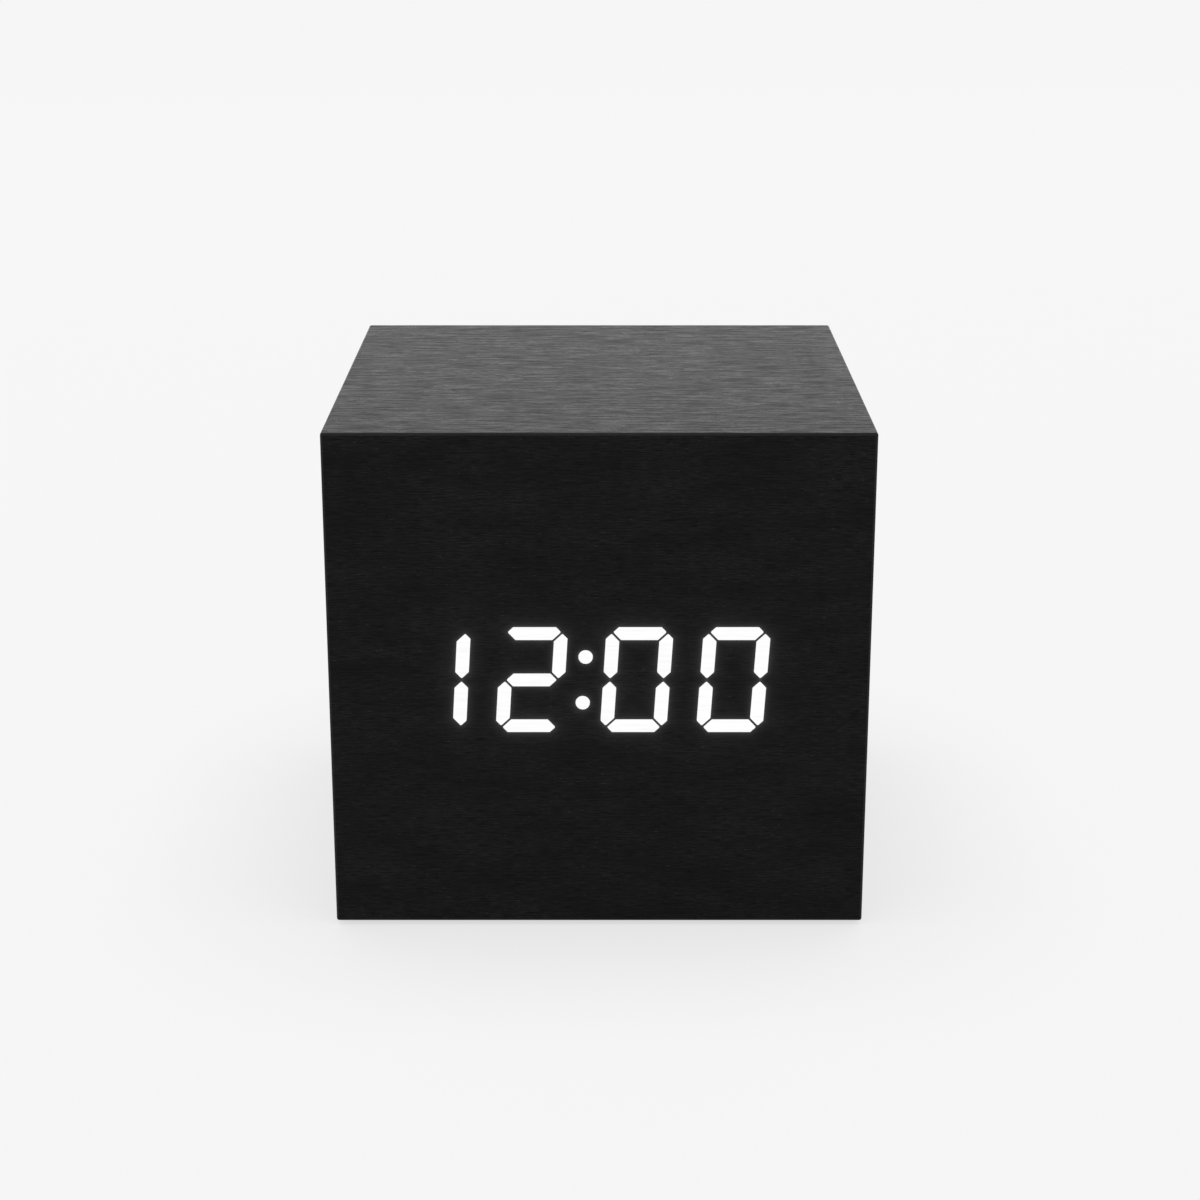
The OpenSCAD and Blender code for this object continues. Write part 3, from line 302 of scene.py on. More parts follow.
class Finishes(bpy.types.PropertyGroup):
    """Colours of the finishes."""
    film: colour("Film", "Film between the streaks of its grain", "#050505")
    film_streak: colour("Film streaks", "Lighter streaks of the film's grain", "#1F1F1F")
    # Rubbed specks, and a painted highlight along the folds of the film
    film_specks_and_fold_highlight: colour("Pale film", "Film where it is rubbed or stretched", "#3A3A3A")
    lit: colour("Lit bars", "Light of the bars that are on", "#FCFCFC")
    milky: colour("Unlit bars", "Milky plastic of the bars that are off", "#D4D4CE")
    fibre: colour("Fibreboard", "Pressed wood fibre", "#B08D62")
    rubber: colour("Feet", "Die-cut rubber", "#1C1C1C")
    black: colour("Black plastic", "Moulded black plastic", "#181818")
    cap: colour("Buttons", "Polished black plastic", "#101010")
    knob: colour("Knob", "Moulded grey plastic", "#A9A9A6")
    ivory: colour("Sockets", "Moulded ivory plastic", "#E6E0CE")
    board: colour("Boards", "Green solder mask", "#14502F")
    chip: colour("Chips", "Black moulding compound", "#232323")
    phosphor: colour("LEDs", "Yellow phosphor", "#E9D46A")
    zinc: colour("Screws", "Zinc plated steel", "#B9BBBE")
    nickel: colour("Contacts", "Nickel plated sheet", "#C9C8C2")
    oxide: colour("Switch case", "Blackened steel", "#3A3B3D")
    gold: colour("Pins", "Gold plated contacts", "#D8AE55")
    aluminium: colour("Cans", "Drawn aluminium", "#C4C6C8")
    ribbon: colour("Ribbon cable", "Flat grey cable", "#C9C9C9")
    sleeve: colour("Cell sleeve", "Plain sleeve of a cell", "#2B3036")
    band: colour("Cell band", "Band at a cell's positive end", "#B9703A")
    red: colour("Red lead", "Red wire sleeve", "#B01C1C")
    ink: colour("Marks", "Printed marks", "#CFCFCB")
    paper: colour("Floor", "Pale paper under and behind the clock", "#F6F6F6")


# Meshes: rings of points, the walls between them and flat decks with holes

def upright(u, v, level):
    """For faces that look to the front or the back."""
    return u, level, v


def lying(u, v, level):
    """For faces that look up or down."""
    return u, v, level


def sideways(u, v, level):
    """For faces that look to the left or the right."""
    return level, u, v


def disc(u, v, radius, sides=ROUND_SIDES):
    """A circle that can be drawn grown or shrunk."""
    def points(grow):
        turns = [2 * math.pi * k / sides for k in range(sides)]
        return [(u + (radius + grow) * math.cos(t), v + (radius + grow) * math.sin(t)) for t in turns]
    return points


def rounded(u, v, width, height, radius):
    """A rectangle with round corners that can be drawn grown or shrunk."""
    def points(grow):
        r = min(max(radius + grow, LEAST_ROUND), MOST_ROUND * (min(width, height) + 2 * grow))
        across = width / 2 + grow - r
        up = height / 2 + grow - r
        made = []
        for k, (su, sv) in enumerate([(1, 1), (-1, 1), (-1, -1), (1, -1)]):
            for step in range(CORNER_STEPS + 1):
                t = math.pi / 2 * (k + step / CORNER_STEPS)
                made.append((u + su * across + r * math.cos(t), v + sv * up + r * math.sin(t)))
        return made
    return points


def stepped(width, depth, bulge):
    """A rectangle about the origin whose back side bulges out along given points."""
    w, d = width / 2, depth / 2
    return lambda grow: [(-w, -d), (w, -d), (w, d)] + bulge + [(-w, d)]


def eased(corners, radius):
    """The corners of an outline rounded by short curves."""
    made = []
    count = len(corners)
    for i in range(count):
        before, here, after = (Vector(corners[(i + k) % count]) for k in (-1, 0, 1))
        start = here + (before - here).normalized() * radius
        end = here + (after - here).normalized() * radius
        for step in range(ARC_STEPS + 1):
            t = step / ARC_STEPS
            made.append(tuple((1 - t) ** 2 * start + 2 * t * (1 - t) * here + t * t * end))
    return made


def soft_edge(radius, level, grow, fall):
    """Steps from a deck into a wall: grow is -1 round a solid and 1 round a hole, fall the wall's way."""
    turns = [math.pi / 2 * k / ARC_STEPS for k in range(ARC_STEPS + 1)]
    return [(grow * radius * (1 - math.sin(t)), level + fall * radius * (1 - math.cos(t))) for t in turns]


def soft_foot(radius, level, grow, fall):
    """Steps from a wall into a deck, the other way round."""
    return soft_edge(radius, level, grow, fall)[::-1]


def turned(radius, steps):
    """Steps of (growth, level) as (radius, level) for a turned piece."""
    return [(radius + grow, level) for grow, level in steps]


def signed_gap(loops, points):
    """Distance from each point to the nearest outline, below zero inside one."""
    best = np.full(len(points), np.inf)
    inside = np.zeros(len(points), bool)
    for loop in loops:
        start = np.array(loop)
        for a, b in zip(start, np.roll(start, -1, axis=0)):
            run = b - a
            share = ((points - a) @ run / (run @ run)).clip(0, 1)
            best = np.minimum(best, np.hypot(*(points - a - share[:, None] * run).T))
            spans = (a[1] > points[:, 1]) != (b[1] > points[:, 1])
            if spans.any():
                cross = a[0] + (points[:, 1] - a[1]) * run[0] / run[1]
                inside ^= spans & (points[:, 0] < cross)
    return np.where(inside, -best, best)


class Shell:
    """A skin made of rings of points, walls between rings and flat decks with holes."""

    def __init__(self, place):
        self.bm = bmesh.new()
        self.place = place
        self.flat = {}
        self.finish = 0

    def face(self, verts, smooth):
        """Adds a face in the finish that is set now."""
        made = self.bm.faces.new(verts)
        made.smooth = smooth
        made.material_index = self.finish

    def ring(self, points, level):
        """Adds a ring of points at a level."""
        made = []
        for u, v in points:
            vert = self.bm.verts.new(self.place(u, v, level))
            self.flat[vert] = (u, v)
            made.append(vert)
        return made

    def adopt(self, ring, axes):
        """Takes a ring of points made elsewhere, seen flat along two axes."""
        for vert in ring:
            self.flat[vert] = tuple(vert.co[k] for k in axes)
        return ring

    def walls(self, rings, smooth=True):
        """Joins each ring to the next."""
        for first, second in zip(rings, rings[1:]):
            for i in range(len(first)):
                j = (i + 1) % len(first)
                self.face((first[i], first[j], second[j], second[i]), smooth)

    def deck(self, outer, holes=(), loose=()):
        """A flat face inside a ring, without its holes. Loose points make its net finer."""
        verts = []
        edges = []
        for ring in (outer, *holes):
            first, count = len(verts), len(ring)
            edges += [(first + i, first + (i + 1) % count) for i in range(count)]
            verts += ring
        verts += loose
        spots = [Vector(self.flat[v]) / MM for v in verts]
        # The 1 asks for triangles inside the outer ring only
        _, _, faces, origins, _, _ = delaunay_2d_cdt(spots, edges, [], 1, ONE_SPOT)
        if not all(origins):
            raise ValueError("the outlines of a deck cross")
        faces = [[origins[i][0] for i in face] for face in faces]
        middles = np.array([sum((spots[i] for i in face), Vector((0, 0))) / 3 for face in faces])
        kept = np.ones(len(faces), bool)
        for hole in holes:
            kept &= signed_gap([[tuple(Vector(self.flat[v]) / MM) for v in hole]], middles) > 0
        for face, keep in zip(faces, kept):
            if keep:
                self.face([verts[i] for i in face], False)

    def sweep(self, shape, profile, smooth=True):
        """Rings of a shape at (growth, level) pairs, joined by walls. Returns the first and the last."""
        rings = [self.ring(shape(grow), level) for grow, level in profile]
        self.walls(rings, smooth)
        return rings[0], rings[-1]

    def sink(self, shape, profile, smooth=True):
        """A sweep with a flat floor at its end. Returns the ring of its mouth."""
        mouth, floor = self.sweep(shape, profile, smooth)
        self.deck(floor)
        return mouth

    def solid(self, shape, profile, smooth=True):
        """A sweep with both ends closed flat."""
        for end in self.sweep(shape, profile, smooth):
            self.deck(end)

    def block(self, shape, low, high, edge=0):
        """A solid of one outline between two levels, with soft edges if an edge is given."""
        profile = [(0, low), (0, high)]
        if edge:
            profile = soft_edge(edge, low, -1, 1) + soft_foot(edge, high, -1, -1)
        self.solid(shape, profile, smooth=bool(edge))

    def piece(self, name):
        """The finished mesh as an object in the scene."""
        bmesh.ops.recalc_face_normals(self.bm, faces=self.bm.faces)
        mesh = bpy.data.meshes.new(name)
        self.bm.to_mesh(mesh)
        self.bm.free()
        made = bpy.data.objects.new(name, mesh)
        bpy.context.scene.collection.objects.link(made)
        return made


def dress(piece, body, nodes, finishes):
    """Gives a piece its finishes, its body and the nodes that it stands for."""
    for finish in finishes:
        piece.data.materials.append(finish)
    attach(piece, body)
    if nodes:
        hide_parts(*nodes)


def paint(names, finish):
    """Gives nodes that keep their solids a finish."""
    for name in names:
        for holder in frame["nodes"][name].material_slots:
            holder.material = finish


def middle_of(node):
    """Middle of a node's box."""
    low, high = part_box(node)
    return (low + high) / 2


def spread(node):
    """Width, depth and height of a node's box."""
    return [high - low for low, high in zip(*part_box(node))]


# Materials

# Plastics and the like: colour, roughness, then width and depth of the texture in millimetres.
# Real textures are often finer, but would not show, so they are drawn as coarse as this
PLASTICS = {
    # Dull, a little pitted
    "rubber sheet, die cut": ("rubber", 0.75, 0.3, 0.012),
    # Pale and soft, like wax
    "milky polycarbonate, unlit": ("milky", 0.4, 0.4, 0.004),
    # Black with little gloss
    "black ABS, moulded reflector": ("black", 0.5, 0.2, 0.004),
    # Yellow and smooth, like resin
    "silicone with phosphor, cast": ("phosphor", 0.35, 0.15, 0.004),
    # Dull dark grey, sandy
    "epoxy compound, moulded chip": ("chip", 0.55, 0.1, 0.003),
    # Ivory, half matt
    "nylon, moulded socket": ("ivory", 0.5, 0.3, 0.004),
    # Waxy gloss
    "acetal, moulded plunger": ("black", 0.35, 0.3, 0.002),
    "acetal, moulded knob": ("knob", 0.42, 0.25, 0.004),
    # Dark, with no gloss at all
    "felt, pressed on a capsule": ("chip", 0.9, 0.1, 0.02),
    # Soft and smooth, half matt
    "red vinyl, extruded sleeve": ("red", 0.45, 0.4, 0.004),
    "black vinyl, extruded sleeve": ("black", 0.45, 0.4, 0.004),
    # Black broken up by fine even grit
    "black ABS, spark-eroded plate": ("black", 0.5, 0.22, 0.008),
    "black ABS, spark-eroded door": ("black", 0.5, 0.22, 0.008),
    "black ABS, spark-eroded box": ("black", 0.52, 0.22, 0.006),
    # Flat and matt
    "ink, pad printed": ("ink", 0.6, 0.2, 0.002),
    # Clear gloss against the dull plate
    "black ABS, polished button": ("cap", 0.28, 0.5, 0.002),
    # Black, half matt
    "black nylon, moulded tongue": ("black", 0.4, 0.2, 0.0025),
    # Smooth gloss, drawn tight round a cell
    "vinyl sleeve, shrunk on": ("sleeve", 0.3, 0.2, 0.001),
    "vinyl sleeve, metallic print": ("band", 0.32, 0.2, 0.001),
}
# Metals: colour, roughness, width of the marks in millimetres and how far they are drawn out along each axis
METALS = {
    # Bright blue-grey, tumbled
    "zinc plated steel, cold headed": ("zinc", 0.35, 0.15, (1, 1, 1)),
    "zinc plated steel, cold headed screw": ("zinc", 0.3, 0.12, (1, 1, 1)),
    # Pale grey, with drawing lines along the can
    "aluminium, drawn can": ("aluminium", 0.32, 0.08, (1, 12, 1)),
    # Nearly black, with rolling lines
    "blackened steel, folded case": ("oxide", 0.45, 0.1, (8, 1, 1)),
    # Warm bright silver, with rolling lines
    "nickel plated steel, folded shell": ("nickel", 0.26, 0.12, (1, 10, 1)),
    "nickel plated steel, stamped sheet": ("nickel", 0.24, 0.1, (10, 1, 1)),
    # Warm bright silver, even all round
    "nickel plated steel, drawn can": ("nickel", 0.3, 0.1, (1, 1, 1)),
    "nickel plated spring wire, coiled": ("nickel", 0.22, 0.08, (1, 1, 1)),
    # Yellow, with fine lines along the pin
    "gold plated bronze, stamped pin": ("gold", 0.25, 0.08, (1, 8, 1)),
}


def add_node(tree, kind, inputs=(), out=0, **settings):
    """Adds a node with its options, fills its inputs with values or links, and returns one output."""
    node = tree.nodes.new(kind)
    for name, value in settings.items():
        setattr(node, name, value)
    for key, value in dict(inputs).items():
        if isinstance(value, bpy.types.NodeSocket):
            tree.links.new(value, node.inputs[key])
        else:
            node.inputs[key].default_value = value
    return node.outputs[out] if len(node.outputs) else None


def blank(name):
    """A new material with an empty node tree."""
    material = bpy.data.materials.new(name)
    material.use_nodes = True
    material.node_tree.nodes.clear()
    return material, material.node_tree


def surface(tree, inputs):
    """Ends a material in one shader."""
    shader = add_node(tree, "ShaderNodeBsdfPrincipled", inputs)
    add_node(tree, "ShaderNodeOutputMaterial", {"Surface": shader})


def grit(tree, size, stretch=(1, 1, 1)):
    """Grains of a real size in millimetres, from 0 to 1, drawn out along an axis where stretch is over 1."""
    place = add_node(tree, "ShaderNodeTexCoord", out="Object")
    scale = [1 / (size * MM * s) for s in stretch]
    spots = add_node(tree, "ShaderNodeMapping", {"Vector": place, "Scale": scale})
    noise = add_node(tree, "ShaderNodeTexNoise", {"Vector": spots, "Scale": 1, "Detail": 3})
    return add_node(tree, "ShaderNodeMapRange", {"Value": noise, "From Min": 0.3, "From Max": 0.7})


def toned(code, factor):
    """A colour made lighter or darker."""
    return tuple(min(part * factor, 1) for part in code[:3]) + (1.0,)


def wood_grain_film(sizes, finishes):
    """Black vinyl film, embossed with wood grain: nearly black face on, grey and streaked at a low angle."""
    material, tree = blank("black vinyl film, embossed grain")
    sheet = add_node(tree, "ShaderNodeAttribute", out="Vector", attribute_name="sheet")

    def streaks(run, width, low=0, high=1, first=0.3, last=0.7):
        """Streaks of a length along the grain and a width across it, in millimetres.

        They go from low to high where their noise goes from first to last.
        """
        spots = add_node(tree, "ShaderNodeMapping", {"Vector": sheet, "Scale": (1 / run, 1 / width, 0)})
        noise = add_node(tree, "ShaderNodeTexNoise", {
            "Vector": spots, "Scale": 1, "Detail": 2, "Roughness": 0.6})
        return add_node(tree, "ShaderNodeMapRange", {
            "Value": noise, "From Min": first, "From Max": last, "To Min": low, "To Max": high})

    # Pores, rubbed specks and short dashes lie in patches; fibres and ridges run all over.
    # Real pores are finer than 0.14 mm, but would not show
    patches = streaks(run=12, width=4, low=0.3)
    pores = add_node(tree, "ShaderNodeMath", {
        0: streaks(run=1.5, width=0.14, low=-0.1, high=0.95), 1: patches}, operation="MULTIPLY")
    grain = add_node(tree, "ShaderNodeMath", {
        0: streaks(run=6, width=0.16, high=0.35), 1: pores}, operation="ADD")
    specks = add_node(tree, "ShaderNodeMath", {
        0: streaks(run=0.8, width=0.14, high=0.9, first=0.65, last=0.73), 1: patches}, operation="MULTIPLY")
    ridges = streaks(run=5, width=0.7)
    dashes = add_node(tree, "ShaderNodeMath", {
        0: streaks(run=1.1, width=0.45), 1: streaks(run=14, width=7, low=0.4)}, operation="MULTIPLY")
    relief = add_node(tree, "ShaderNodeMath", {0: dashes, 1: 0.8, 2: ridges}, operation="MULTIPLY_ADD")
    # On a fold the film is painted nearly as pale as a rubbed speck: a painted highlight along the edge
    fold = add_node(tree, "ShaderNodeSeparateXYZ", {0: sheet}, out="Z")
    pale = add_node(tree, "ShaderNodeMath", {0: fold, 1: 0.3, 2: specks}, operation="MULTIPLY_ADD")
    even = add_node(tree, "ShaderNodeMixRGB", {
        "Fac": grain, "Color1": finishes.film, "Color2": finishes.film_streak})
    # Light that leaks through the film beside a lit bar: a bright line at its edge and a wide faint halo
    gap = add_node(tree, "ShaderNodeAttribute", out="Fac", attribute_name="lit_gap")
    line = add_node(tree, "ShaderNodeMath", {0: math.exp(-MM / sizes.line_fade), 1: gap}, operation="POWER")
    halo = add_node(tree, "ShaderNodeMath", {0: math.exp(-MM / sizes.halo_fade), 1: gap}, operation="POWER")
    faint = add_node(tree, "ShaderNodeMath", {0: halo, 1: sizes.halo_light}, operation="MULTIPLY")
    glow = add_node(tree, "ShaderNodeMath", {
        0: line, 1: sizes.line_light, 2: faint}, operation="MULTIPLY_ADD")
    surface(tree, {
        "Base Color": add_node(tree, "ShaderNodeMixRGB", {
            "Fac": pale, "Color1": even, "Color2": finishes.film_specks_and_fold_highlight}),
        "Roughness": add_node(tree, "ShaderNodeMapRange", {
            "Value": relief, "From Min": 0.3, "From Max": 1.3, "To Min": 0.48, "To Max": 0.22}),
        # Smooth vinyl has about 1.5; the embossing takes most of its gloss away face on
        "IOR": 1.145,
        "Normal": add_node(tree, "ShaderNodeBump", {
            "Strength": 1.0, "Distance": 0.04 * MM, "Height": relief}),
        "Emission Color": add_node(tree, "ShaderNodeMixRGB", {
            "Fac": glow, "Color1": (0, 0, 0, 1), "Color2": finishes.lit}),
        "Emission Strength": 1.0,
    })
    return material


def lit_polycarbonate(finishes):
    """Milky polycarbonate light pipes with an LED behind each: shadeless white, faintly streaked."""
    material, tree = blank("milky polycarbonate, lit from behind")
    # A little wider than the film's fibres and half as long
    streaks = grit(tree, size=0.24, stretch=(14, 1, 1))
    surface(tree, {
        "Base Color": toned(finishes.milky, 0.04),
        "Roughness": 0.4,
        "Emission Color": add_node(tree, "ShaderNodeMixRGB", {
            "Fac": streaks, "Color1": toned(finishes.lit, 0.92), "Color2": finishes.lit}),
        "Emission Strength": 1.0,
    })
    return material


def moulded(name, finishes):
    """Plastic from a textured mould: a fine even grit that breaks up the light and dulls its gloss."""
    key, roughness, size, depth = PLASTICS[name]
    shade = getattr(finishes, key)
    swing = 0.06
    material, tree = blank(name)
    grains = grit(tree, size)
    surface(tree, {
        "Base Color": add_node(tree, "ShaderNodeMixRGB", {
            "Fac": grains, "Color1": toned(shade, 0.8), "Color2": toned(shade, 1.2)}),
        "Roughness": add_node(tree, "ShaderNodeMapRange", {
            "Value": grains, "To Min": roughness - swing, "To Max": roughness + swing}),
        # Smooth plastics have about 1.5; the texture takes some of their gloss away
        "IOR": 1.36,
        "Normal": add_node(tree, "ShaderNodeBump", {
            "Strength": 0.6, "Distance": depth * MM, "Height": grains}),
    })
    return material


def metal(name, finishes):
    """Bare or plated metal: bright, with fine drawing or tumbling marks in its gloss."""
    key, roughness, size, stretch = METALS[name]
    shade = getattr(finishes, key)
    swing = 0.07
    material, tree = blank(name)
    marks = grit(tree, size, stretch)
    surface(tree, {
        "Base Color": add_node(tree, "ShaderNodeMixRGB", {
            "Fac": marks, "Color1": toned(shade, 0.85), "Color2": shade}),
        "Metallic": 1.0,
        "Roughness": add_node(tree, "ShaderNodeMapRange", {
            "Value": marks, "To Min": roughness - swing, "To Max": roughness + swing}),
        "Normal": add_node(tree, "ShaderNodeBump", {
            "Strength": 0.3, "Distance": 0.0016 * MM, "Height": marks}),
    })
    return material


def pressed_fibre(finishes):
    """Fibreboard, pressed and sawn: brown fibres lying every way, dull."""
    material, tree = blank("fibreboard, pressed and sawn")
    fibres = add_node(tree, "ShaderNodeMath", {
        0: grit(tree, size=0.25, stretch=(4, 1, 1)),
        1: grit(tree, size=0.25, stretch=(1, 4, 3))}, operation="MAXIMUM")
    surface(tree, {
        "Base Color": add_node(tree, "ShaderNodeMixRGB", {
            "Fac": fibres, "Color1": toned(finishes.fibre, 0.6), "Color2": toned(finishes.fibre, 1.15)}),
        "Roughness": 0.85,
        "Normal": add_node(tree, "ShaderNodeBump", {
            "Strength": 0.5, "Distance": 0.03 * MM, "Height": fibres}),
    })
    return material


def solder_mask(finishes):
    """Glass-fibre board under green solder mask: glossy green with paler traces under it."""
    material, tree = blank("glass-fibre board, solder mask")
    place = add_node(tree, "ShaderNodeTexCoord", out="Object")
    # Traces run every 1.5 mm and turn square corners at the edges of 6 mm cells
    cell, pitch = 6 * MM, 1.5 * MM
    cells = add_node(tree, "ShaderNodeTexVoronoi", {
        "Vector": place, "Scale": 1 / cell}, distance="CHEBYCHEV")
    rows = add_node(tree, "ShaderNodeMath", {0: cells, 1: cell / pitch}, operation="MULTIPLY")
    part = add_node(tree, "ShaderNodeMath", {0: rows}, operation="FRACT")
    traces = add_node(tree, "ShaderNodeMapRange", {"Value": part, "From Min": 0.55, "From Max": 0.6})
    surface(tree, {
        "Base Color": add_node(tree, "ShaderNodeMixRGB", {
            "Fac": traces, "Color1": finishes.board, "Color2": toned(finishes.board, 1.6)}),
        "Roughness": 0.28,
        "Normal": add_node(tree, "ShaderNodeBump", {
            "Strength": 0.4, "Distance": 0.03 * MM, "Height": traces}),
    })
    return material


def striped_ribbon(finishes):
    """Flat cable: eight soft ridges, one for each wire, in dull plastic, painted darker in the grooves as
    painted shade.
    """
    material, tree = blank("flat cable, extruded vinyl")
    place = add_node(tree, "ShaderNodeTexCoord", out="Object")
    # One ridge every millimetre across the cable; a wave texture at scale 1 repeats every pi / 10
    pitch = 1 * MM
    ridges = add_node(tree, "ShaderNodeTexWave", {
        "Vector": place, "Scale": math.pi / 10 / pitch}, out="Fac", bands_direction="X")
    surface(tree, {
        # The colour is painted darker in the grooves between the ridges: painted shade
        "Base Color": add_node(tree, "ShaderNodeMixRGB", {
            "Fac": ridges, "Color1": toned(finishes.ribbon, 0.75), "Color2": finishes.ribbon}),
        "Roughness": 0.5,
        "Normal": add_node(tree, "ShaderNodeBump", {
            "Strength": 0.8, "Distance": 0.1 * MM, "Height": ridges}),
    })
    return material


# Case

def front_loops(node):
    """Outlines round and in a node's frontmost face, as lists of (x, z)."""
    mesh = frame["nodes"][node].data
    front = min(vert.co.y for vert in mesh.vertices)
    spots = {v.index: (round(v.co.x, 7), round(v.co.z, 7)) for v in mesh.vertices if v.co.y < front + FLAT}
    runs = set()
    for polygon in mesh.polygons:
        corners = list(polygon.vertices)
        if all(i in spots for i in corners):
            runs |= {(spots[a], spots[b]) for a, b in zip(corners, corners[1:] + corners[:1])}
    following = {a: b for a, b in runs if (b, a) not in runs}
    loops = []
    while following:
        spot = next(iter(following))
        loop = []
        while spot in following:
            loop.append(spot)
            spot = following.pop(spot)
        loops.append(loop)
    return loops


def box_skin(bm, low, high):
    """Adds the skin of a box. Returns its corners."""
    corners = bmesh.ops.create_cube(bm, size=1)["verts"]
    for vert in corners:
        vert.co = [low[k] if vert.co[k] < 0 else high[k] for k in range(3)]
    return corners


def opened(bm, faces):
    """Takes the front, the back and the bottom out of a box's skin. Returns their rings of points."""
    bm.normal_update()
    rings = []
    for side in ((0, -1, 0), (0, 1, 0), (0, 0, -1)):
        face = max(faces, key=lambda f: f.normal.dot(Vector(side)) * f.calc_area())
        rings.append(list(face.verts))
        faces.remove(face)
        bm.faces.remove(face)
    return rings


def unfolded(spot, normal, low, high):
    """Place on the unfolded film in millimetres, along the grain and across it, then 1 where it is folded."""
    fold = float(max(abs(part) for part in normal) < SQUARE_ON)
    if abs(normal.x) > max(abs(normal.y), abs(normal.z)):
        side = RIGHT_AT if normal.x > 0 else LEFT_AT
        return spot.y / MM, side + spot.z / MM, fold
    if abs(normal.y) > abs(normal.z):
        rise = (spot.z - low.z) / MM
        return spot.x / MM, rise if normal.y < 0 else BACK_AT - rise, fold
    depth = (spot.y - low.y) / MM
    return spot.x / MM, (high.z - low.z) / MM + depth if normal.z > 0 else -depth, fold


def film_wrap(sizes, controls, bay):
    """The film as one closed skin: windows in its front, holes for the rear plate and the battery box."""
    low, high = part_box("grain_film")
    core_low = Vector((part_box("left_core")[0].x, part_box("front_core")[0].y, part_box("bottom_core")[0].z))
    core_high = Vector((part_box("right_core")[1].x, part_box("back_core")[1].y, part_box("top_core")[1].z))
    case_w = high.x - low.x
    windows = [loop for loop in front_loops("grain_film") if np.ptp([p[0] for p in loop]) < case_w / 2]

    shell = Shell(upright)
    corners = box_skin(shell.bm, low, high)
    edges = dict.fromkeys(edge for vert in corners for edge in vert.link_edges)
    bmesh.ops.bevel(shell.bm, geom=list(edges), offset=sizes.fold, segments=2 * ARC_STEPS, profile=0.5,
                    affect="EDGES")
    for face in shell.bm.faces:
        face.smooth = face.calc_area() < case_w * case_w / 2
    outer = opened(shell.bm, list(shell.bm.faces))
    corners = box_skin(shell.bm, core_low, core_high)
    inner = opened(shell.bm, list(dict.fromkeys(face for vert in corners for face in vert.link_faces)))

    columns, rows = (np.arange(low[k] + 2 * sizes.fold, high[k] - 2 * sizes.fold, sizes.net_step)
                     for k in (0, 2))
    net = np.array(list(product(columns, rows)))
    gaps = signed_gap(windows, net)
    net = net[(gaps > sizes.net_step / 3) & (gaps < sizes.glow_reach)]
    sides = (
        (upright, (0, 2), [lambda grow, loop=loop: loop for loop in windows], low.y, core_low.y, net),
        (upright, (0, 2), [plate_outline(controls)], high.y, core_high.y, ()),
        (lying, (0, 1), [rim_outline(bay)], low.z, core_low.z, ()),
    )
    for outer_ring, inner_ring, (place, axes, holes, outside, inside, loose) in zip(outer, inner, sides):
        shell.place = place
        ends = [shell.sweep(hole, [(controls.fit, outside), (controls.fit, inside)]) for hole in holes]
        shell.deck(shell.adopt(outer_ring, axes), [end[0] for end in ends],
                   shell.ring([tuple(spot) for spot in loose], outside))
        shell.deck(shell.adopt(inner_ring, axes), [end[1] for end in ends])
    piece = shell.piece("film_wrap")

    mesh = piece.data
    spots = np.array([vert.co for vert in mesh.vertices])
    gaps = np.where(spots[:, 1] < low.y + FLAT, signed_gap(windows, spots[:, [0, 2]]), FAR)
    held = mesh.attributes.new("lit_gap", "FLOAT", "POINT")
    held.data.foreach_set("value", np.maximum(gaps, 0) / MM)
    sheet = mesh.attributes.new("sheet", "FLOAT_VECTOR", "CORNER")
    for polygon in mesh.polygons:
        for i in polygon.loop_indices:
            spot = mesh.vertices[mesh.loops[i].vertex_index].co
            sheet.data[i].vector = unfolded(spot, polygon.normal, low, high)
    return piece


class CLOCK_OT_film(bpy.types.Operator):
    """Wrap the case in its black grain film, with a window for each lit bar"""
    bl_idname = "clock.film"
    bl_label = "Grain film"

    def execute(self, context):
        scene = context.scene
        piece = film_wrap(scene.clock_case, scene.clock_controls, scene.clock_bay)
        film = wood_grain_film(scene.clock_case, scene.clock_finishes)
        dress(piece, "clock", ["grain_film"], [film])
        return {"FINISHED"}


class CLOCK_OT_feet(bpy.types.Operator):
    """Put the four rubber feet under the case"""
    bl_idname = "clock.feet"
    bl_label = "Feet"

    def execute(self, context):
        sizes = context.scene.clock_case
        low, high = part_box("feet")
        x, y, _ = frame["record"]["mounts"][0]["pos_m"]
        radius = x - low.x
        profile = [(radius, high.z)] + turned(radius, soft_foot(sizes.foot_edge, low.z, -1, 1))
        profile += [(radius * share, low.z + sizes.foot_hollow * deep) for share, deep in FOOT_BOWL]
        shell = Shell(lying)
        for u, v in product((-x, x), (-y, y)):
            shell.solid(disc(u, v, 0), profile)
        rubber = moulded("rubber sheet, die cut", context.scene.clock_finishes)
        dress(shell.piece("foot_pads"), "clock", ["feet"], [rubber])
        return {"FINISHED"}


class CLOCK_OT_display(bpy.types.Operator):
    """Finish the lit bars and the parts of the display behind the film"""
    bl_idname = "clock.display"
    bl_label = "Display"

    def execute(self, context):
        finishes = context.scene.clock_finishes
        paint(["lit_segments"], lit_polycarbonate(finishes))
        paint(["unlit_segments"], moulded("milky polycarbonate, unlit", finishes))
        paint(["segment_reflector"], moulded("black ABS, moulded reflector", finishes))
        paint(["led_chips"], moulded("silicone with phosphor, cast", finishes))
        return {"FINISHED"}


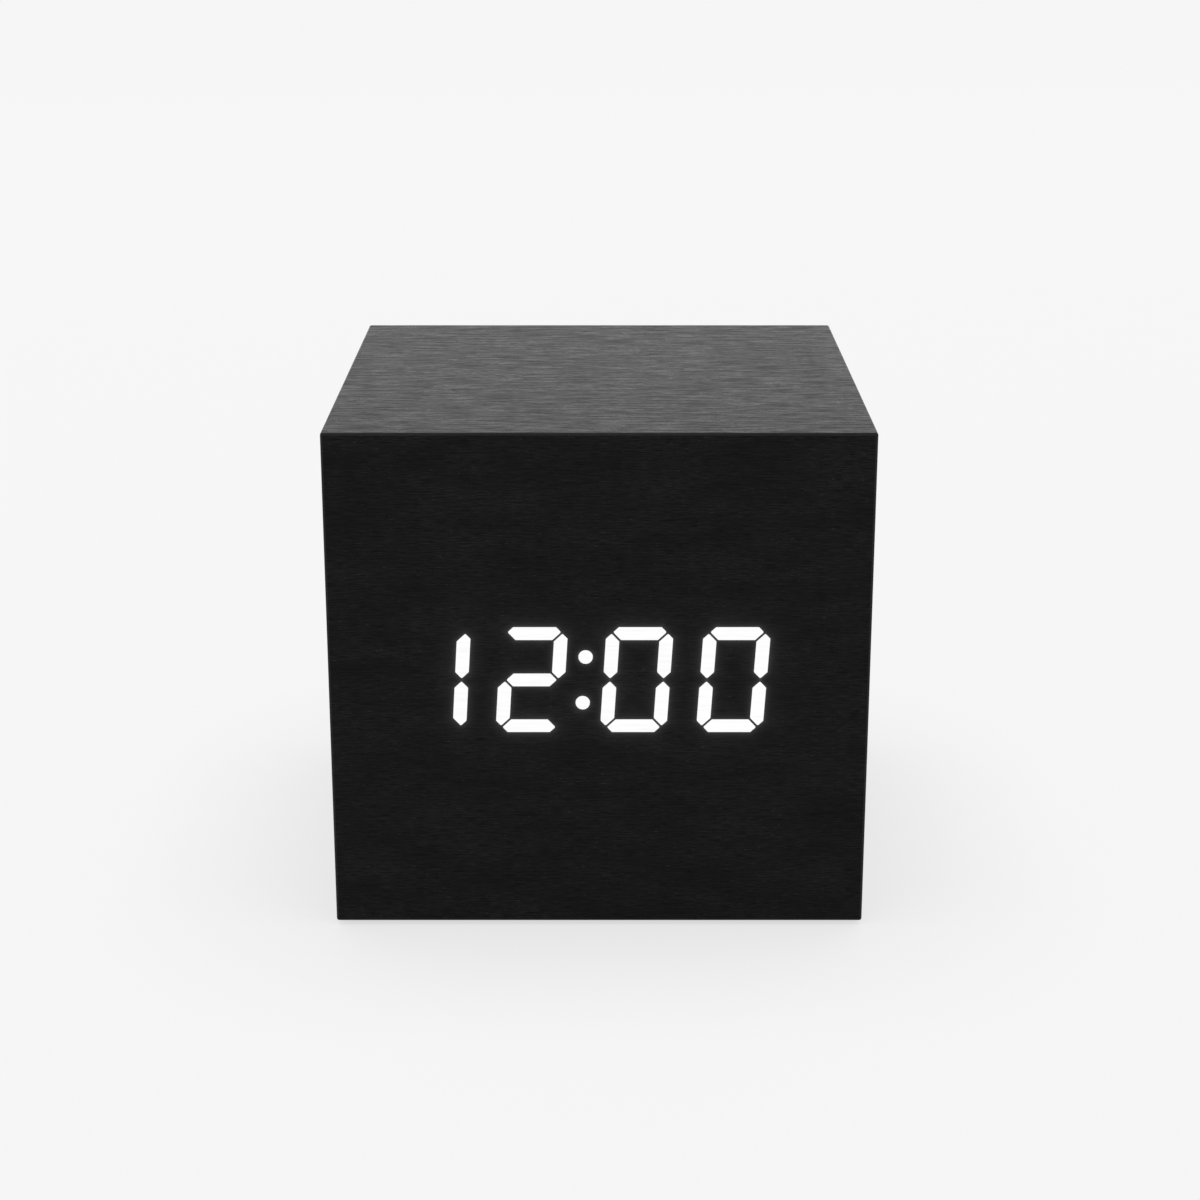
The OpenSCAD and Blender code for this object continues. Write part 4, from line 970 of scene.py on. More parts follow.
class CLOCK_OT_inside(bpy.types.Operator):
    """Finish the panels, boards, cables and parts inside the case"""
    bl_idname = "clock.inside"
    bl_label = "Inside"

    def execute(self, context):
        finishes = context.scene.clock_finishes
        cores = [f"{side}_core" for side in ("front", "back", "top", "bottom", "left", "right")]
        chips = ["display_driver", "control_chip", "buzzer", "switch_housings"]
        paint(cores, pressed_fibre(finishes))
        paint(["display_board", "main_board"], solder_mask(finishes))
        paint(chips, moulded("epoxy compound, moulded chip", finishes))
        paint(["display_socket", "board_socket"], moulded("nylon, moulded socket", finishes))
        paint([f"{name}_plunger" for name in BUTTONS], moulded("acetal, moulded plunger", finishes))
        paint(["display_screws", "main_board_screws"], metal("zinc plated steel, cold headed", finishes))
        paint(["quartz_crystal", "capacitor"], metal("aluminium, drawn can", finishes))
        paint(["microphone"], moulded("felt, pressed on a capsule", finishes))
        paint(["sound_switch_housing"], metal("blackened steel, folded case", finishes))
        paint(["ribbon_cable"], striped_ribbon(finishes))
        paint(["red_lead"], moulded("red vinyl, extruded sleeve", finishes))
        paint(["black_lead"], moulded("black vinyl, extruded sleeve", finishes))
        return {"FINISHED"}


# Back

class CLOCK_OT_rear_plate(bpy.types.Operator):
    """Make the plate in the back with its dish, holes, bosses and printed marks"""
    bl_idname = "clock.rear_plate"
    bl_label = "Rear plate"

    def execute(self, context):
        sizes = context.scene.clock_controls
        finishes = context.scene.clock_finishes
        black = moulded("black ABS, spark-eroded plate", finishes)
        ink = moulded("ink, pad printed", finishes)
        dress(rear_plate(sizes), "clock", ["rear_plate"], [black])
        dress(printed_marks(sizes), "clock", [], [ink])
        return {"FINISHED"}


def plate_levels(sizes):
    """Levels of the rear plate: its back, its rim's seat, its dish and the inside of the dish's floor."""
    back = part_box("rear_plate")[1].y
    dish = back - sizes.dish_depth
    return back, back - sizes.rim_t, dish, dish - sizes.floor_t


def plate_outline(sizes):
    """Outline of the rear plate."""
    low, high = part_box("rear_plate")
    return rounded(0, (low.z + high.z) / 2, high.x - low.x, high.z - low.z, sizes.plate_r)


def screw_spots(sizes):
    """Places of the rear plate's screws."""
    low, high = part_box("rear_plate_screws")
    head_r = sizes.head_d / 2
    return product((low.x + head_r, high.x - head_r), (low.z + head_r, high.z - head_r))


def inlet_outline(room):
    """Outline of the power inlet, grown by a room round it: its lower corners are cut off at a slope."""
    width, _, height = spread("usb_shell")
    spot = middle_of("usb_shell")

    def points(grow):
        w = width / 2 + room + grow
        h = height / 2 + room + grow
        slope = 0.75 * h
        corners = [(-w, h), (w, h), (w, -h / 4), (w - slope, -h), (slope - w, -h), (-w, -h / 4)]
        return [(spot.x + u, spot.z + v) for u, v in eased(corners, h / 3)]
    return points


def knob_slot(sizes):
    """Outline of the slot that the slide switch's knob runs in."""
    side = spread("sound_switch_knob")[0]
    spot = middle_of("sound_switch_knob")
    corner = 0.15 * MM
    return rounded(spot.x + sizes.travel / 2, spot.z, side + sizes.travel + 4 * sizes.slide_gap,
                   side + 2 * sizes.slide_gap, corner)


def rear_plate(sizes):
    """A plate with a dish, closed all round, down to the bosses that carry the main board."""
    low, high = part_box("rear_plate")
    board_w, _, board_h = spread("main_board")
    mid_z = (low.z + high.z) / 2
    hole_w, hole_h = board_w + 2 * sizes.board_room, board_h + 2 * sizes.board_room
    back, seat, dish, inside = plate_levels(sizes)
    plug = rounded(0, mid_z, hole_w - 2 * sizes.fit, hole_h - 2 * sizes.fit, sizes.plug_r)
    basin = rounded(0, mid_z, hole_w - 2 * sizes.dish_wall, hole_h - 2 * sizes.dish_wall, sizes.dish_r)
    buzzer = middle_of("buzzer")
    mic = middle_of("microphone")

    shell = Shell(upright)
    screw_mouths = []
    screw_ends = []
    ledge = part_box("rear_plate_screws")[1].y - sizes.head_h
    for x, z in screw_spots(sizes):
        head_walls = soft_edge(sizes.hole_edge, back, 1, -1) + [(0, ledge)]
        mouth, foot = shell.sweep(disc(x, z, sizes.head_d / 2 + sizes.fit), head_walls)
        waist, end = shell.sweep(disc(x, z, sizes.screw_d / 2 + sizes.fit), [(0, ledge), (0, seat)])
        shell.deck(foot, [waist])
        screw_mouths.append(mouth)
        screw_ends.append(end)

    caps = [middle_of(f"{name}_button") for name in BUTTONS]
    holes = [disc(cap.x, cap.z, sizes.cap_d / 2 + sizes.slide_gap) for cap in caps]
    holes += [inlet_outline(sizes.inlet_room), knob_slot(sizes)]
    turns = [k * math.pi / 3 for k in range(6)]
    sound = [(0, 0)] + [(sizes.sound_ring * math.cos(t), sizes.sound_ring * math.sin(t)) for t in turns]
    holes += [disc(buzzer.x + u, buzzer.z + v, sizes.sound_hole / 2, SMALL_SIDES) for u, v in sound]
    # The microphone's hole is the last one
    holes.append(disc(mic.x, mic.z, sizes.sound_hole / 2, SMALL_SIDES))
    hole_walls = soft_edge(sizes.hole_edge, dish, 1, -1) + [(0, inside)]
    mouths, ends = zip(*[shell.sweep(hole, hole_walls) for hole in holes])

    walls = soft_edge(sizes.dish_edge, back, 1, -1) + soft_foot(sizes.dish_edge, dish, -1, 1)
    basin_top, basin_floor = shell.sweep(basin, walls)
    rim_walls = soft_edge(sizes.rim_edge, back, -1, -1) + [(0, seat)]
    rim_top, rim_foot = shell.sweep(plate_outline(sizes), rim_walls)
    plug_top, plug_foot = shell.sweep(plug, [(0, seat), (0, inside)])
    shell.deck(rim_top, [basin_top] + screw_mouths)
    shell.deck(basin_floor, mouths)
    shell.deck(rim_foot, [plug_top] + screw_ends)

    roots = []
    reach_x, reach_z = board_w / 2 - sizes.boss_inset, board_h / 2 - sizes.boss_inset
    for x, z in product((-reach_x, reach_x), (mid_z - reach_z, mid_z + reach_z)):
        root, end = shell.sweep(disc(x, z, sizes.boss_d / 2, SMALL_SIDES), [(0, inside), (0, low.y)])
        bore = [(0, low.y), (0, inside - sizes.boss_end)]
        shell.deck(end, [shell.sink(disc(x, z, sizes.screw_d / 2, SMALL_SIDES), bore)])
        roots.append(root)
    collar_r = spread("microphone")[0] / 2 + sizes.fit
    collar_end = inside - sizes.collar_l
    collar = disc(mic.x, mic.z, collar_r + sizes.collar_t)
    outer_root, outer_end = shell.sweep(collar, [(0, inside), (0, collar_end)])
    inner_end, inner_root = shell.sweep(disc(mic.x, mic.z, collar_r), [(0, collar_end), (0, inside)])
    shell.deck(outer_end, [inner_end])
    shell.deck(inner_root, [ends[-1]])
    shell.deck(plug_foot, [*ends[:-1], *roots, outer_root])
    return shell.piece("back_plate")


def printed_marks(sizes):
    """Marks in the dish: a ring for the setting button, arrows, on and off marks, a direct-current sign."""
    dish = plate_levels(sizes)[2]
    ink = dish, dish + sizes.ink_t
    size, line = sizes.mark_h, sizes.mark_line
    shell = Shell(upright)

    def bar(u, v, width, height):
        shell.block(rounded(u, v, width, height, min(width, height) / 4), *ink)

    def ring(u, v, radius):
        edges = [shell.sweep(disc(u, v, r, SMALL_SIDES), [(0, level) for level in ink])
                 for r in (radius, radius - line)]
        for outer, inner in zip(*edges):
            shell.deck(outer, [inner])

    rise = sizes.cap_d / 2 + size
    for name, way in (("up", 1), ("down", -1)):
        spot = middle_of(f"{name}_button")
        corners = [(spot.x + size * u, spot.z + rise + way * size * v) for u, v in MARK_ARROW]
        shell.block(lambda grow, c=corners: eased(c, line / 2), *ink)
    spot = middle_of("set_button")
    ring(spot.x, spot.z + rise, size / 2)
    bar(spot.x, spot.z + rise, line, line)
    knob = middle_of("sound_switch_knob")
    drop = sizes.travel + size
    ring(knob.x - size / 4, knob.z - drop, size / 2)
    bar(knob.x + sizes.travel + size / 4, knob.z - drop, line, size)
    # The direct-current sign is a long bar over three short ones
    inlet = middle_of("usb_shell")
    bar(inlet.x, inlet.z - drop - line, 3 * size, line)
    for k in (-1, 0, 1):
        bar(inlet.x + k * 1.1 * size, inlet.z - drop - 3.4 * line, 0.8 * size, line)
    return shell.piece("printed_marks")


class CLOCK_OT_buttons(bpy.types.Operator):
    """Make the three round buttons, hollowed for a fingertip"""
    bl_idname = "clock.buttons"
    bl_label = "Buttons"

    def execute(self, context):
        sizes = context.scene.clock_controls
        gloss = moulded("black ABS, polished button", context.scene.clock_finishes)
        collar_out = plate_levels(sizes)[3] - sizes.slide_gap / 2
        collar_in = collar_out - sizes.cap_collar
        cap_r, stem_r = sizes.cap_d / 2, sizes.stem_d / 2
        hollow_r = cap_r - sizes.cap_edge
        for name in BUTTONS:
            node = f"{name}_button"
            low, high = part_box(node)
            spot = middle_of(node)
            collar_r = spread(node)[0] / 2
            profile = [(stem_r, low.y), (stem_r, collar_in), (collar_r, collar_in), (collar_r, collar_out),
                       (cap_r, collar_out)]
            profile += turned(cap_r, soft_foot(sizes.cap_edge, high.y, -1, -1))
            # The hollow is a shallow bowl that starts at the rounded edge
            profile += [(hollow_r * share, high.y - sizes.cap_hollow * (1 - share * share))
                        for share in CAP_BOWL]
            shell = Shell(upright)
            shell.solid(disc(spot.x, spot.z, 0), profile)
            dress(shell.piece(f"{name}_cap"), node, [node], [gloss])
        return {"FINISHED"}


def cross_recess(x, z, sizes):
    """A cross that narrows towards the bottom of its recess: growth 0 is the mouth and -1 the floor."""
    shorter, narrower = RECESS_TAPER

    def points(grow):
        arm = sizes.recess_l * (1 + shorter * grow)
        half = sizes.recess_w * (1 + narrower * grow)
        made = []
        for k in range(4):
            c, s = math.cos(k * math.pi / 2), math.sin(k * math.pi / 2)
            made += [(x + u * c - v * s, z + u * s + v * c)
                     for u, v in ((arm, -half), (arm, half), (half, half))]
        return made
    return points


class CLOCK_OT_screws(bpy.types.Operator):
    """Make the four screws of the rear plate with their cross recesses"""
    bl_idname = "clock.screws"
    bl_label = "Rear screws"

    def execute(self, context):
        sizes = context.scene.clock_controls
        low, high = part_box("rear_plate_screws")
        head_r, shank_r = sizes.head_d / 2, sizes.screw_d / 2
        under = high.y - sizes.head_h
        profile = [(head_r * share, high.y - drop) for share, drop in SCREW_DOME]
        profile += [(head_r, under), (shank_r, under)]
        for k in range(int((under - low.y) / THREAD_PITCH)):
            level = under - k * THREAD_PITCH
            profile += [(shank_r * share, level - drop) for share, drop in THREAD]
        profile.append((shank_r * SCREW_TIP, low.y))
        recess = [(0, high.y), (-1, high.y - sizes.recess_depth)]
        shell = Shell(upright)
        for x, z in screw_spots(sizes):
            top, tip = shell.sweep(disc(x, z, 0, SMALL_SIDES), profile)
            shell.deck(tip)
            shell.deck(top, [shell.sink(cross_recess(x, z, sizes), recess, smooth=False)])
        zinc = metal("zinc plated steel, cold headed screw", context.scene.clock_finishes)
        dress(shell.piece("plate_screws"), "clock", ["rear_plate_screws"], [zinc])
        return {"FINISHED"}


class CLOCK_OT_sound_switch(bpy.types.Operator):
    """Make the ribbed knob of the slide switch"""
    bl_idname = "clock.sound_switch"
    bl_label = "Slide switch"

    def execute(self, context):
        sizes = context.scene.clock_controls
        low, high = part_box("sound_switch_knob")
        mid, depth = (low.x + high.x) / 2, (low.y + high.y) / 2
        edge, half = sizes.knob_edge, sizes.groove_w / 2
        floor = high.y - sizes.groove_depth
        # Seen from above: a square whose outer side has three grooves with sloping walls
        points = [(low.x, low.y), (high.x, low.y), (high.x, high.y - edge), (high.x - edge, high.y)]
        for k in (1, 0, -1):
            spot = mid + k * sizes.groove_pitch
            points += [(spot + half, high.y), (spot + half / 3, floor), (spot - half / 3, floor),
                       (spot - half, high.y)]
        points += [(low.x + edge, high.y), (low.x, high.y - edge)]

        def shape(grow):
            wide, deep = 1 + grow / (high.x - mid), 1 + grow / (high.y - depth)
            return [(mid + (u - mid) * wide, depth + (v - depth) * deep) for u, v in points]
        inset = -edge * 0.6
        shell = Shell(lying)
        shell.solid(shape, [(inset, low.z), (0, low.z + edge), (0, high.z - edge), (inset, high.z)],
                    smooth=False)
        grey = moulded("acetal, moulded knob", context.scene.clock_finishes)
        dress(shell.piece("switch_knob"), "sound_switch", ["sound_switch_knob"], [grey])
        return {"FINISHED"}


class CLOCK_OT_inlet(bpy.types.Operator):
    """Make the power inlet: a folded shell, and a tongue with five contacts"""
    bl_idname = "clock.inlet"
    bl_label = "Power inlet"

    def execute(self, context):
        sizes = context.scene.clock_controls
        finishes = context.scene.clock_finishes
        nickel = metal("nickel plated steel, folded shell", finishes)
        plastic = moulded("black nylon, moulded tongue", finishes)
        gold = metal("gold plated bronze, stamped pin", finishes)
        dress(inlet_shell(sizes), "clock", ["usb_shell"], [nickel])
        dress(inlet_tongue(sizes), "clock", ["usb_tongue"], [plastic, gold])
        return {"FINISHED"}


def inlet_shell(sizes):
    """A sheet folded round the inlet, with a round lip at its mouth."""
    low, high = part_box("usb_shell")
    lip = sizes.sheet_t / 2
    turns = [math.pi * k / (2 * ARC_STEPS) for k in range(2 * ARC_STEPS + 1)]
    profile = [(0, low.y)]
    profile += [(lip * (math.cos(t) - 1), high.y - lip + lip * math.sin(t)) for t in turns]
    profile.append((-sizes.sheet_t, low.y))
    shell = Shell(upright)
    outer, inner = shell.sweep(inlet_outline(0), profile)
    shell.deck(outer, [inner])
    return shell.piece("inlet_shell")


def inlet_tongue(sizes):
    """The block that fills the back of the inlet, its tongue, and five contacts under the tongue."""
    low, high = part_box("usb_shell")
    spot = middle_of("usb_shell")
    block_gap, block_edge = 0.02 * MM, 0.05 * MM
    tongue_corner, tongue_edge, tongue_root = 0.1 * MM, 0.12 * MM, 0.3 * MM
    pin_corner, pin_edge, pin_root, pin_short = 0.03 * MM, 0.02 * MM, 0.2 * MM, 0.3 * MM
    shell = Shell(upright)
    block_end = low.y + sizes.inlet_block
    shell.block(inlet_outline(-sizes.sheet_t - block_gap), low.y, block_end, block_edge)
    tongue_z = spot.z + sizes.tongue_rise + sizes.tongue_t / 2
    tongue_end = high.y - sizes.tongue_short
    tongue = rounded(spot.x, tongue_z, sizes.tongue_w, sizes.tongue_t, tongue_corner)
    shell.block(tongue, block_end - tongue_root, tongue_end, tongue_edge)
    shell.finish = 1
    under = tongue_z - sizes.tongue_t / 2
    for k in range(-2, 3):
        pin = rounded(spot.x + k * sizes.pin_pitch, under, sizes.pin_w, 2 * sizes.pin_proud, pin_corner)
        shell.block(pin, block_end - pin_root, tongue_end - pin_short, pin_edge)
    return shell.piece("inlet_tongue")


# Battery bay

class CLOCK_OT_battery_door(bpy.types.Operator):
    """Make the battery door with its hinge pins, latch, finger grooves and sunk arrow"""
    bl_idname = "clock.battery_door"
    bl_label = "Battery door"

    def execute(self, context):
        door = battery_door(context.scene.clock_bay)
        black = moulded("black ABS, spark-eroded door", context.scene.clock_finishes)
        dress(door, "battery_door", ["battery_door"], [black])
        return {"FINISHED"}


def battery_door(sizes):
    """A flat door with a round hinge end; its outside looks down."""
    low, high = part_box("battery_door")
    door_w = high.x - low.x - 2 * sizes.pin_l
    bottom, top = low.z, low.z + sizes.door_t
    hinge_r = sizes.door_t / 2
    hinge_z = bottom + hinge_r
    shell = Shell(lying)

    def outline(level):
        """The door's outline at a level: a round hinge end, soft edges elsewhere."""
        edge = min(level - bottom, top - level)
        drop = max(sizes.door_edge - edge, 0)
        inset = sizes.door_edge - math.sqrt(max(sizes.door_edge ** 2 - drop ** 2, 0))
        bow = hinge_r - math.sqrt(max(hinge_r ** 2 - (level - hinge_z) ** 2, 0))
        front = low.y + bow
        back = high.y - inset
        return rounded(0, (front + back) / 2, door_w - 2 * inset, back - front, sizes.door_r)(0)

    levels = [hinge_z - hinge_r * math.cos(math.pi * k / HINGE_STEPS) for k in range(HINGE_STEPS + 1)]
    for share in (1, 0.5):
        levels += [bottom + share * sizes.door_edge, top - share * sizes.door_edge]
    rings = [shell.ring(outline(level), level) for level in sorted(levels)]
    shell.walls(rings)
    marks = []
    for k in range(GROOVES):
        spot = high.y - sizes.groove_inset - k * sizes.groove_pitch
        groove = rounded(0, spot, sizes.groove_l, sizes.groove_w, sizes.groove_w / 2)
        bowl = [(-sizes.groove_w * share / 2, bottom + sizes.groove_depth * math.sin(share * math.pi / 2))
                for share in GROOVE_BOWL]
        marks.append(shell.sink(groove, bowl))
    tip = high.y - sizes.groove_inset - (GROOVES + 0.5) * sizes.groove_pitch
    half, middle = sizes.arrow * 0.6, tip - sizes.arrow * 0.62
    arrow_corner, arrow_taper = 0.2 * MM, 0.2

    def arrow(grow):
        """A triangle that points to the latch, drawn smaller towards its middle."""
        corners = eased([(-half, tip - sizes.arrow), (half, tip - sizes.arrow), (0, tip)], arrow_corner)
        return [(u * (1 + grow), middle + (v - middle) * (1 + grow)) for u, v in corners]
    sunk = [(0, bottom), (-arrow_taper, bottom + sizes.arrow_depth)]
    marks.append(shell.sink(arrow, sunk, smooth=False))
    shell.deck(rings[0], marks)

    # Inside, two rows of three pockets between ribs keep the moulding thin
    pocket_w = (door_w - 2 * sizes.door_rim - sizes.door_rib) / 2
    pocket_l = (high.y - low.y - 2 * hinge_r - 2 * sizes.door_rim - 2 * sizes.door_rib) / 3
    first = low.y + 2 * hinge_r + sizes.door_rim + pocket_l / 2
    walls = soft_edge(sizes.rim_edge, top, 1, -1)
    walls += soft_foot(sizes.rim_edge, top - sizes.door_pocket, -1, 1)
    pockets = []
    for side, k in product((-1, 1), range(3)):
        pocket = rounded(side * (pocket_w + sizes.door_rib) / 2, first + k * (pocket_l + sizes.door_rib),
                         pocket_w, pocket_l, sizes.door_r)
        pockets.append(shell.sink(pocket, walls))
    shell.deck(rings[-1], pockets)

    latch_corner, latch_root, latch_edge = 0.15 * MM, 0.4 * MM, 0.2 * MM
    latch_y = high.y - sizes.door_gap / 2 - sizes.latch_t / 2
    latch = rounded(0, latch_y, sizes.latch_w, sizes.latch_t, latch_corner)
    shell.block(latch, top - latch_root, high.z, latch_edge)
    shell.place = sideways
    pin_r, pin_root, pin_tip, tip_share = sizes.pin_d / 2, 1 * MM, 0.15 * MM, 0.75
    for side in (-1, 1):
        profile = [(pin_r, side * (door_w / 2 - pin_root)), (pin_r, side * (high.x - pin_tip)),
                   (pin_r * tip_share, side * high.x)]
        shell.solid(disc(low.y + hinge_r, hinge_z, 0, SMALL_SIDES), profile)
    return shell.piece("door_panel")


class CLOCK_OT_battery_box(bpy.types.Operator):
    """Make the battery box: rim, pocket for the door, bay, ribs, polarity signs and finger scoop"""
    bl_idname = "clock.battery_box"
    bl_label = "Battery box"

    def execute(self, context):
        box = battery_box(context.scene.clock_bay)
        black = moulded("black ABS, spark-eroded box", context.scene.clock_finishes)
        dress(box, "clock", ["battery_box"], [black])
        return {"FINISHED"}


def rim_outline(sizes):
    """Outline of the battery box's rim."""
    rim_w, rim_l, _ = spread("battery_box")
    return rounded(0, 0, rim_w, rim_l, sizes.rim_r)


def battery_box(sizes):
    """The box from its rim, flush with the bottom, up to its roof, closed all round."""
    low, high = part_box("battery_box")
    rim_w, rim_l, _ = spread("battery_box")
    pocket_w, pocket_l = rim_w - 2 * sizes.rim_w, rim_l - 2 * sizes.rim_w
    scoop_top = low.z + sizes.scoop_depth
    pocket_top = low.z + sizes.door_t + sizes.lift
    notch_top = pocket_top + sizes.notch_h
    rim_top = pocket_top + sizes.rim_t
    bay_top = high.z - sizes.wall
    bay_w, bay_l = 3 * sizes.cell_pitch, spread("contact_plates")[1]
    pocket_corner, bay_corner, box_corner, roof_edge = 0.4 * MM, 0.5 * MM, 0.8 * MM, 0.4 * MM
    scoop_y = rim_l / 2 - sizes.scoop_edge - sizes.scoop_r
    reach = math.acos((pocket_l / 2 - scoop_y) / sizes.scoop_r)
    turns = [reach * (1 - 2 * k / CORNER_STEPS) for k in range(CORNER_STEPS + 1)]
    scoop = [(sizes.scoop_r * math.sin(t), scoop_y + sizes.scoop_r * math.cos(t)) for t in turns]
    notch_w, notch_y = sizes.latch_w / 2 + sizes.door_gap, pocket_l / 2 - 2 * sizes.ledge
    notch = [(notch_w, bay_l / 2), (notch_w, notch_y), (-notch_w, notch_y), (-notch_w, bay_l / 2)]

    # From the mouth upwards, each stage is a ledge smaller than the one below
    shell = Shell(lying)
    rim_walls = soft_edge(sizes.rim_edge, low.z, -1, 1) + [(0, rim_top)]
    rim_face, rim_end = shell.sweep(rim_outline(sizes), rim_walls)
    mouth, scoop_end = shell.sweep(stepped(pocket_w, pocket_l, scoop), [(0, low.z), (0, scoop_top)],
                                   smooth=False)
    shell.deck(rim_face, [mouth])
    pocket = rounded(0, 0, pocket_w - 2 * sizes.ledge, pocket_l - 2 * sizes.ledge, pocket_corner)
    pocket_foot, pocket_end = shell.sweep(pocket, [(0, scoop_top), (0, pocket_top)])
    shell.deck(scoop_end, [pocket_foot])
    notch_foot, notch_end = shell.sweep(stepped(bay_w, bay_l, notch), [(0, pocket_top), (0, notch_top)],
                                        smooth=False)
    shell.deck(pocket_end, [notch_foot])
    bay = rounded(0, 0, bay_w - 2 * sizes.ledge, bay_l - 2 * sizes.ledge, bay_corner)
    bay_foot, roof = shell.sweep(bay, [(0, notch_top)] + soft_foot(roof_edge, bay_top, -1, -1))
    shell.deck(notch_end, [bay_foot])
    shell.deck(roof)
    outside = rounded(0, 0, bay_w + 2 * sizes.wall, bay_l + 2 * sizes.wall, box_corner)
    outside_walls = [(0, rim_top)] + soft_foot(roof_edge, high.z, -1, -1)
    shell.deck(rim_end, [shell.sink(outside, outside_walls)])

    rib_corner, rib_edge = sizes.rib_w / 2.2, 0.2 * MM
    for side in (-1, 1):
        rib = rounded(side * sizes.cell_pitch / 2, 0, sizes.rib_w, bay_l - 2 * sizes.rib_end, rib_corner)
        shell.block(rib, bay_top - sizes.rib_h, bay_top + sizes.wall / 2, rib_edge)
    sign_y = bay_l / 2 - 1.6 * sizes.rib_end
    sign_root, sign_edge = 0.2 * MM, 0.03 * MM
    long, short = sizes.sign_l, sizes.sign_w
    for k, plus in CELLS:
        for end, width, depth in ((plus, long, short), (plus, short, long), (-plus, long, short)):
            bar = rounded(k * sizes.cell_pitch, end * sign_y, width, depth, short / 5)
            shell.block(bar, bay_top - sizes.sign_h, bay_top + sign_root, sign_edge)
    return shell.piece("battery_tray")


class CLOCK_OT_cells(bpy.types.Operator):
    """Make the three plain cells: sleeve, band, bare ends and nub"""
    bl_idname = "clock.cells"
    bl_label = "Cells"

    def execute(self, context):
        finishes = context.scene.clock_finishes
        sleeve = moulded("vinyl sleeve, shrunk on", finishes)
        steel = metal("nickel plated steel, drawn can", finishes)
        band = moulded("vinyl sleeve, metallic print", finishes)
        piece = plain_cells(context.scene.clock_bay)
        dress(piece, "clock", ["battery_cells"], [sleeve, steel, band])
        return {"FINISHED"}


def plain_cells(sizes):
    """Turned cells in three finishes: 0 for the sleeve, 1 for bare steel and 2 for the band."""
    low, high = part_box("battery_cells")
    height = (low.z + high.z) / 2
    radius, edge, nub_r = sizes.cell_d / 2, sizes.cell_edge, sizes.nub_d / 2
    tip = high.y
    nose = tip - sizes.nub_l
    tail = tip - (tip - low.y - spring_length(sizes))
    lap = radius - sizes.sleeve_lap
    nub_edge, nub_foot, foot_w, sheet, end_share = 0.3 * MM, 0.1 * MM, 0.5 * MM, 0.2 * MM, 0.3
    sections = [
        # Bare positive end with its nub
        (1, [(nub_r - nub_edge, tip), (nub_r, tip - nub_edge), (nub_r, nose - nub_foot),
             (nub_r + foot_w, nose - sheet), (lap, nose - sheet)]),
        # Band, then sleeve, turned in over both ends
        (2, [(lap, nose - sheet), (lap, nose)] + turned(radius, soft_edge(edge, nose, -1, -1))
         + [(radius, nose - sizes.band_l)]),
        (0, [(radius, nose - sizes.band_l)] + turned(radius, soft_foot(edge, tail, -1, 1))
         + [(lap, tail), (lap, tail + sheet)]),
        # Bare negative end
        (1, [(lap, tail + sheet), (radius * end_share, tail + sheet)]),
    ]
    shell = Shell(upright)
    for k, side in CELLS:
        cell = disc(k * sizes.cell_pitch, height, 0)
        last = None
        for finish, profile in sections:
            shell.finish = finish
            if last:
                profile = profile[1:]
            rings = [shell.ring(cell(r), side * level) for r, level in profile]
            if last:
                rings.insert(0, last)
            else:
                shell.deck(rings[0])
            shell.walls(rings)
            last = rings[-1]
        shell.deck(last)
    return shell.piece("cells")


def spring_length(sizes):
    """From a contact's face to the end of the cell that its spring pushes on."""
    mesh = frame["nodes"]["contact_springs"].data
    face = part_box("contact_plates")[1].y - sizes.contact_t
    return max(vert.co.y for vert in mesh.vertices if vert.co.y < 0) + face


class CLOCK_OT_contacts(bpy.types.Operator):
    """Make the battery contacts: stamped sheets with solder tabs, and conical springs"""
    bl_idname = "clock.contacts"
    bl_label = "Contacts"

    def execute(self, context):
        sizes = context.scene.clock_bay
        finishes = context.scene.clock_finishes
        nickel = metal("nickel plated steel, stamped sheet", finishes)
        wire = metal("nickel plated spring wire, coiled", finishes)
        dress(contact_sheets(sizes), "clock", ["contact_plates"], [nickel])
        dress(contact_springs(sizes), "clock", ["contact_springs"], [wire])
        return {"FINISHED"}


def contact_sheets(sizes):
    """At each end a sheet for one cell, with a solder tab, and a sheet that joins two cells."""
    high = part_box("contact_plates")[1]
    height = middle_of("battery_cells").z
    half, rise, tab = sizes.contact_w / 2, sizes.contact_h / 2, sizes.tab_w / 2
    edge = sizes.contact_t / 6
    shell = Shell(upright)
    for side in (-1, 1):
        levels = sorted((side * (high.y - sizes.contact_t), side * high.y))
        joined = rounded(side * sizes.cell_pitch / 2, height, sizes.cell_pitch + sizes.contact_w,
                         sizes.contact_h, sizes.contact_r)
        shell.block(joined, *levels, edge)
        spot = -side * sizes.cell_pitch

        def single(grow):
            """The outline of a sheet for one cell with its tab, its edges moved in by a growth below zero."""
            w, h, t, top = half + grow, rise + grow, tab + grow, high.z - height + grow
            corners = [(-w, -h), (w, -h), (w, h), (t, h), (t, top), (-t, top), (-t, h), (-w, h)]
            return [(spot + u, height + v) for u, v in eased(corners, sizes.contact_r / 2)]
        shell.block(single, *levels, edge)
    return shell.piece("contact_sheets")


def contact_springs(sizes):
    """Three conical springs, each one unbroken wire that winds from its sheet to its cell."""
    reach = spring_length(sizes)
    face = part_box("contact_plates")[1].y - sizes.contact_t
    height = middle_of("battery_cells").z
    wire = sizes.spring_wire / 2
    count = int(COIL_TURNS * COIL_STEPS)
    shell = Shell(upright)
    for k, nub_end in CELLS:
        path = []
        for i in range(count + 1):
            share = i / count
            radius = (sizes.spring_d + (sizes.spring_tip - sizes.spring_d) * share) / 2 - wire
            turn = 2 * math.pi * COIL_TURNS * share
            rise = wire + (reach - 2 * wire) * share
            path.append(Vector((k * sizes.cell_pitch + radius * math.cos(turn), -nub_end * (face - rise),
                                height + radius * math.sin(turn))))
        tube(shell, path, wire)
    return shell.piece("coil_springs")


